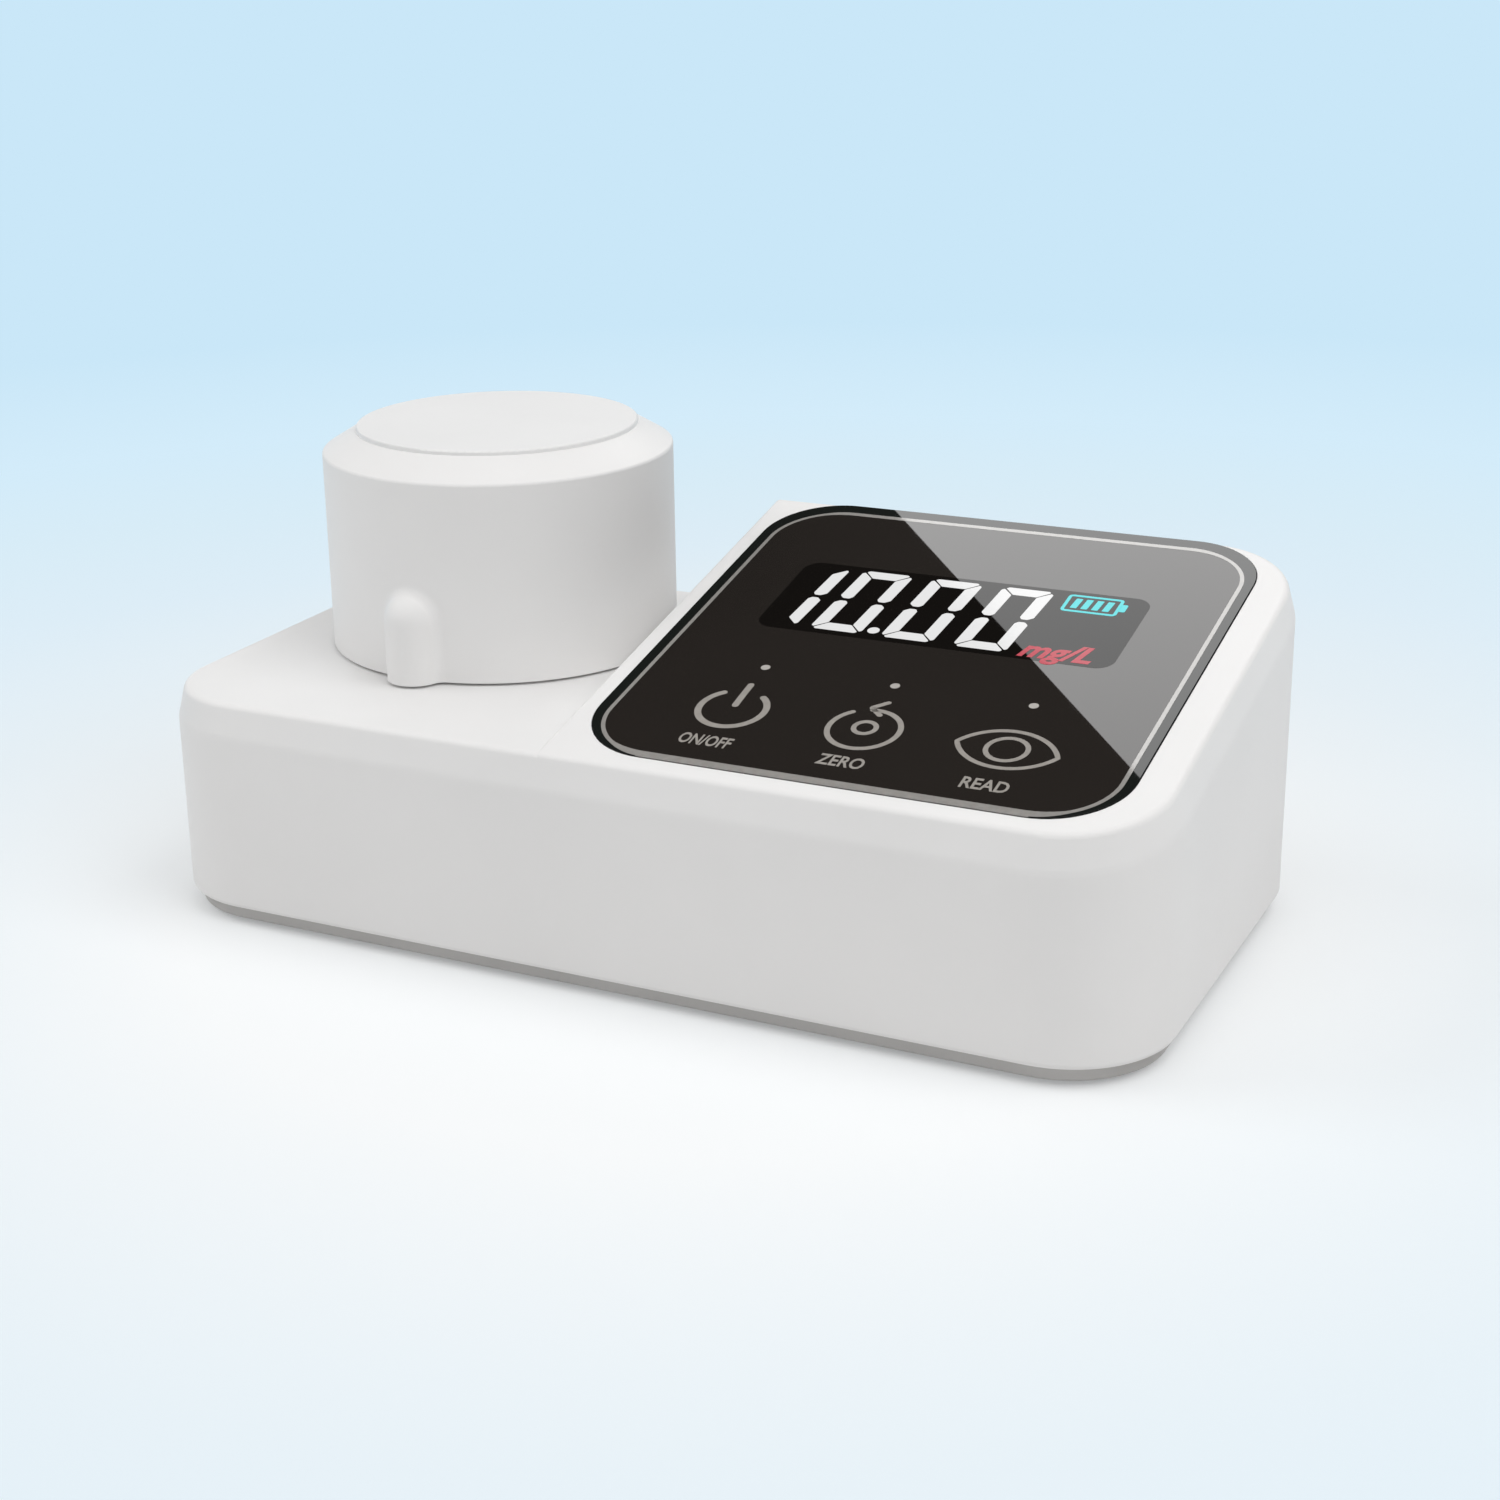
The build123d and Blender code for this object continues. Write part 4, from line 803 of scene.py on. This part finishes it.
@dataclass
class TouchPanel:
    """The printed glass with its border line, its three touch symbols, their lamps and their words.

    The line's widths are those in front, a blend further back, a blend before the back, and there.
    """

    slot: str = "panel_black"
    facet_edge: Triple = (0.0, -48.5, 42.5)
    field_heights: Pair = (-0.05, 0.02)
    line: Box = (-5.9, 85.0, 4.45, 95.3, 12.3)
    line_heights: Pair = (-0.18, 0.04)
    line_widths: Quad = (1.58, 0.74, 0.74, 1.1)
    line_blend: float = 2.0
    mark_heights: Pair = (0.0, 0.05)
    power: Pair = (14.77, 21.8)
    power_turn: Turn = (5.9, 129.0, 411.0)
    power_bar: Path = ((14.55, 29.8), (14.65, 26.0), (14.8, 22.95))
    power_stroke: float = 1.2
    zero: Pair = (39.16, 21.3)
    zero_turn: Turn = (6.15, 130.0, 458.0)
    zero_head: Path = ((40.0, 30.3), (37.85, 28.1), (40.1, 26.0))
    zero_stroke: float = 0.98
    ring: Pair = (39.16, 21.75)
    ring_turn: Turn = (1.9, 0.0, 350.0, 32)
    ring_stroke: float = 0.9
    read: Pair = (64.1, 21.35)
    eye_reach: float = 8.75
    eye_bow: float = 5.6
    eye_turn: float = -3.0
    eye_stroke: float = 0.88
    pupil_turn: Turn = (3.45, 0.0, 352.0, 40)
    lamps: Path = ((14.45, 36.1), (38.85, 35.8), (63.7, 35.45))
    lamp_turn: Turn = (0.85, 0.0, 345.0, 24)
    words: tuple[tuple[str, float, float, float], ...] = (
        ("ON/OFF", 10.1, 19.6, 9.6), ("ZERO", 35.4, 43.5, 9.4), ("READ", 60.4, 68.4, 8.9))
    word_height: float = 3.1

    def build(self, panel: bpy.types.Object) -> Slope:
        """Builds all that is printed on the CAD panel, and gives the panel's axes."""
        slope = Slope.of_panel(panel, self.facet_edge)
        line = rounded_box(*self.line, steps=24)
        slope.lay("panel_field", [slab(line, self.field_heights)], FIELD_GLASS, self.slot)
        slope.lay("panel_border", [self.border(line)], LINE_INK, self.slot)
        slope.lay("power_mark", self.power_mark(), GREY_INK, self.slot)
        slope.lay("zero_mark", self.zero_mark(), GREY_INK, self.slot)
        slope.lay("read_mark", self.read_mark(), GREY_INK, self.slot)
        lamps = [slab(arc(place, *self.lamp_turn), self.mark_heights) for place in self.lamps]
        slope.lay("indicator_dots", lamps, INDICATOR_LIGHT, self.slot)
        words = [lettering(word, (left, right, base, base + self.word_height), self.mark_heights,
                           weight=0.02) for word, left, right, base in self.words]
        slope.lay("key_words", words, GREY_INK, self.slot)
        Display().build(slope)
        return slope

    def border(self, line: Array) -> Solid:
        """Draws the printed line: thin at the sides, broader at the back and broadest in front."""
        (front, back), blend = self.line[2:4], self.line_blend
        width = np.interp(line[:, 1], [front, front + blend, back - blend, back], self.line_widths)
        return ribbon(line, width, self.line_heights, closed=True)

    def mark(self, path: Array, width: float, closed: bool = False) -> Solid:
        """Draws one stroke of a symbol."""
        return ribbon(path, width, self.mark_heights, closed)

    def power_mark(self) -> list[Solid]:
        """Draws the switch symbol: an open ring, and a bar that comes down into its gap."""
        return [self.mark(arc(self.power, *self.power_turn), self.power_stroke),
                self.mark(np.array(self.power_bar), self.power_stroke)]

    def zero_mark(self) -> list[Solid]:
        """Draws the zero symbol: a ring that ends in an arrow head, round a small ring.

        The head is an open path, so of its two ends' curves only the inner halves are kept.
        """
        head = softened(np.array(self.zero_head), radius=0.2)[2:-2]
        return [self.mark(arc(self.zero, *self.zero_turn), self.zero_stroke),
                self.mark(head, self.zero_stroke),
                self.mark(arc(self.ring, *self.ring_turn), self.ring_stroke, closed=True)]

    def read_mark(self) -> list[Solid]:
        """Draws the eye: two lids that are equal arcs and meet at the corners, and a pupil.

        The circle that passes through both corners and rises by bow between them has the radius of
        half the sum of reach squared and bow squared over bow, and its centre lies below by that
        radius less bow.
        """
        reach, bow = self.eye_reach, self.eye_bow
        radius = (reach ** 2 + bow ** 2) / (2 * bow)
        across = np.linspace(-reach, reach, num=49)
        rise = np.sqrt(radius ** 2 - across ** 2) - (radius - bow)
        lids = np.concatenate([np.column_stack([across, rise]),
                               np.column_stack([-across, -rise])[1:-1]])
        swing = np.radians(self.eye_turn)
        spin = np.array([[np.cos(swing), np.sin(swing)], [-np.sin(swing), np.cos(swing)]])
        return [self.mark(outline, self.eye_stroke, closed=True) for outline in
                (np.array(self.read) + lids @ spin, arc(self.read, *self.pupil_turn))]


def stand(thing: bpy.types.Object, axes: Sequence[Array], place: Sequence[float]) -> None:
    """Puts a camera or a lamp at a place in metres, with its right, up and back axes as given."""
    rows = zip(np.stack(axes, axis=1), place)
    thing.matrix_world = Matrix([(*row, spot) for row, spot in rows] + [(0, 0, 0, 1)])


@dataclass(frozen=True)
class Lamp:
    """A square soft light that looks at the origin and shows in no mirror, in metres and watts."""

    name: str
    place: Triple
    size: float
    power: float

    def hang(self) -> None:
        """Hangs the lamp; its right axis is square to the line of sight and close to level."""
        data = bpy.data.lights.new(self.name, "AREA")
        data.shape, data.size, data.energy = "SQUARE", self.size, self.power
        lamp = linked(self.name, data)
        back = np.array(self.place) / np.linalg.norm(self.place)
        side = np.cross([0.0, 1.0, 0.001], back)
        side /= np.linalg.norm(side)
        stand(lamp, [side, np.cross(back, side), back], self.place)
        lamp.visible_glossy = False


@dataclass
class Studio:
    """The pale floor, the soft lights, the cards that the glass mirrors, and the camera.

    The camera is fitted to the photograph: its focal length and middle are pixels, its angles are
    azimuth, elevation and roll in degrees, and its offset from the aim is right, up and away.
    """

    picture: float = 1500.0
    focal: float = 2518.8642
    middle: Pair = (699.978, 699.6124)
    angles: Triple = (27.0444, 18.6556, -1.1172)
    offset: Triple = (-5.0341, 17.5759, 464.7547)
    aim_height: float = 20.0
    sensor: float = 36.0
    ambient: float = 0.375
    floor_half: float = 20.0
    lamps: tuple[Lamp, ...] = (
        Lamp("overhead", (0.0, 0.0, 1.6), 1.6, 5.2),
        Lamp("right_side", (0.9, -0.1, 1.4), 1.2, 10.8),
        Lamp("left_side", (-1.2, -0.4, 1.0), 0.8, 5.0),
        Lamp("front", (-0.1, -1.4, 0.7), 0.8, 1.5))
    panel_middle: Triple = (39.35, 51.25, 0.0)
    glare_start: Pair = (14.4, 97.5)
    glare_end: Pair = (88.0, 17.7)
    glare_reach: Pair = (60.0, 150.0)

    def axes(self) -> tuple[Array, Array, Array, Array]:
        """Works out the camera's place, in metres, and its right, up and back axes."""
        turn, rise, tilt = np.radians(self.angles)
        back = np.array([np.sin(turn) * np.cos(rise), -np.cos(turn) * np.cos(rise), np.sin(rise)])
        level = np.array([np.cos(turn), np.sin(turn), 0.0])
        rising = np.cross(back, level)
        right = level * np.cos(tilt) + rising * np.sin(tilt)
        above = rising * np.cos(tilt) - level * np.sin(tilt)
        across, up, away = self.offset
        eye = back * away + [0, 0, self.aim_height] + right * across + above * up
        return eye * MM, right, above, back

    def camera(self) -> None:
        """Sets the camera where the photograph was taken from."""
        eye, right, above, back = self.axes()
        data = bpy.data.cameras.new("camera")
        data.sensor_width = self.sensor
        data.lens = self.focal / self.picture * self.sensor
        data.shift_x = (self.picture / 2 - self.middle[0]) / self.picture
        data.shift_y = -(self.picture / 2 - self.middle[1]) / self.picture
        data.clip_start, data.clip_end = 0.01, 100.0
        camera = linked("camera", data)
        stand(camera, [right, above, back], eye)
        bpy.context.scene.camera = camera

    def world(self) -> None:
        """Fills the room with even light, and shows a pale blue sky that turns white higher up."""
        world = bpy.data.worlds.new("room")
        bpy.context.scene.world = world
        world.use_nodes = True
        tree = world.node_tree
        tree.nodes.clear()
        light = add_node(tree, "Background", {"Color": (1, 1, 1, 1), "Strength": self.ambient})
        where = add_node(tree, "TexCoord").outputs["Generated"]
        facing = add_node(tree, "SeparateXYZ", {"Vector": where})
        height = add_node(tree, "MapRange", {"Value": facing.outputs["Z"], "From Max": 0.4})
        tint = add_node(tree, "ValToRGB", {"Fac": height.outputs[0]},
                        ((0.0, "#CAE7F8"), (1.0, "#EDEEEF")))
        sky = add_node(tree, "Background", {"Color": tint.outputs[0], "Strength": 1.0})
        mix = add_node(tree, "MixShader", {
            0: self.seen(tree), 1: light.outputs[0], 2: sky.outputs[0]})
        add_node(tree, "OutputWorld", {"Surface": mix.outputs[0]})

    def seen(self, tree: Tree) -> Socket:
        """Gives one for a ray that shows a surface, and nought for one that only lights by it."""
        ray = add_node(tree, "LightPath").outputs
        mirrored = add_node(tree, "Math", {
            0: ray["Is Glossy Ray"], 1: ray["Is Transmission Ray"]}, operation="MAXIMUM")
        return add_node(tree, "Math", {
            0: ray["Is Camera Ray"], 1: mirrored.outputs[0]}, operation="MAXIMUM").outputs[0]

    def floor(self) -> None:
        """Lays the floor: white round the meter, turning pale blue and shadeless with distance.

        Sizes and ranges are in metres. Rays that only light by the floor find it plain grey.
        """
        half = self.floor_half
        corners = [(-half, -half, 0), (half, -half, 0), (half, half, 0), (-half, half, 0)]
        mesh = bpy.data.meshes.new("floor")
        mesh.from_pydata(corners, [], [(0, 1, 2, 3)])
        floor = linked("floor", mesh)
        material = blank_material("matt_studio_floor")
        tree = material.node_tree
        where = add_node(tree, "TexCoord").outputs["Object"]
        away = add_node(tree, "VectorMath", {0: where}, operation="LENGTH").outputs["Value"]
        share = add_node(tree, "MapRange", {"Value": away, "From Min": 0.1, "From Max": 0.6})
        tint = add_node(tree, "ValToRGB", {"Fac": share.outputs[0]}, (
            (0.0, "#F9FBFC"), (0.16, "#EAF4FA"), (0.3, "#E1F1FB"), (0.44, "#DBEFFA"),
            (0.62, "#D4ECFA"), (1.0, "#CAE7F8"))).outputs[0]
        shaded = add_node(tree, "BsdfDiffuse", {"Color": tint})
        plain = add_node(tree, "Emission", {"Color": tint, "Strength": 1.0})
        far = add_node(tree, "MapRange", {
            "Value": away, "From Min": 0.15, "From Max": 0.42, "To Min": 0.3})
        shown = add_node(tree, "MixShader", {
            0: far.outputs[0], 1: shaded.outputs[0], 2: plain.outputs[0]})
        light = add_node(tree, "BsdfDiffuse", {"Color": linear("#E6E6E6")})
        mix = add_node(tree, "MixShader", {
            0: self.seen(tree), 1: light.outputs[0], 2: shown.outputs[0]})
        add_node(tree, "OutputMaterial", {"Surface": mix.outputs[0]})
        mesh.materials.append(material)

    def card(self, name: str, slope: Slope, corners: Array, away: float, tone: float) -> None:
        """Hangs a flat card that only mirrors see, whose image on the panel has given corners.

        The eye is mirrored in the glass, and each corner lies where the line from that mirrored eye
        through the corner's place on the panel meets a plane square to the middle line.

        Args:
            name: the card's name.
            slope: the panel's axes.
            corners: the image's corners on the panel, as u and v.
            away: the card's distance from the panel, in metres.
            tone: how bright the card is.
        """
        eye = self.axes()[0]
        base = slope.origin * MM
        mirrored = eye - 2 * ((eye - base) @ slope.normal) * slope.normal
        spots = slope.place(np.column_stack([corners, np.zeros(len(corners))]))
        middle = slope.place(np.array([self.panel_middle]))[0]
        look = (middle - mirrored) / np.linalg.norm(middle - mirrored)
        rays = spots - mirrored
        reach = np.linalg.norm(middle - mirrored) + away
        points = mirrored + rays * (reach / (rays @ look))[:, None]
        mesh = bpy.data.meshes.new(name)
        mesh.from_pydata(points.tolist(), [], [list(range(len(points)))])
        material = blank_material(name + "_light")
        tree = material.node_tree
        glow = add_node(tree, "Emission", {"Color": (1, 1, 1, 1), "Strength": tone})
        add_node(tree, "OutputMaterial", {"Surface": glow.outputs[0]})
        mesh.materials.append(material)
        card = linked(name, mesh)
        card.visible_camera = card.visible_diffuse = False
        card.visible_transmission = card.visible_shadow = False

    def cards(self, slope: Slope) -> None:
        """Hangs a bright card whose edge is the line on the glass, and a dark one behind it."""
        start, end = np.array(self.glare_start), np.array(self.glare_end)
        along = (end - start) / np.linalg.norm(end - start)
        over = along * self.glare_reach[0]
        deep = np.array([-along[1], along[0]]) * self.glare_reach[1]
        bright = np.array([start - over, end + over, end + over + deep, start - over + deep])
        dark = np.array([(-120.0, -60.0), (200.0, -60.0), (200.0, 220.0), (-120.0, 220.0)])
        self.card("bright_card", slope, bright, away=0.7, tone=3.1)
        self.card("dark_card", slope, dark, away=0.75, tone=0.02)

    def build(self, slope: Slope) -> None:
        """Sets up the whole studio."""
        bpy.context.scene.view_settings.view_transform = "Standard"
        self.camera()
        self.world()
        self.floor()
        for lamp in self.lamps:
            lamp.hang()
        self.cards(slope)


def main() -> None:
    """Loads the frame, dresses it, and builds the pieces and the studio."""
    logging.basicConfig(level=logging.INFO, format="%(name)s %(message)s")
    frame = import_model()
    for assembly in ASSEMBLIES:
        assembly.dress(frame)
    slope = TouchPanel().build(frame["nodes"]["panel_glass"])
    Studio().build(slope)


if __name__ == "__main__":
    main()
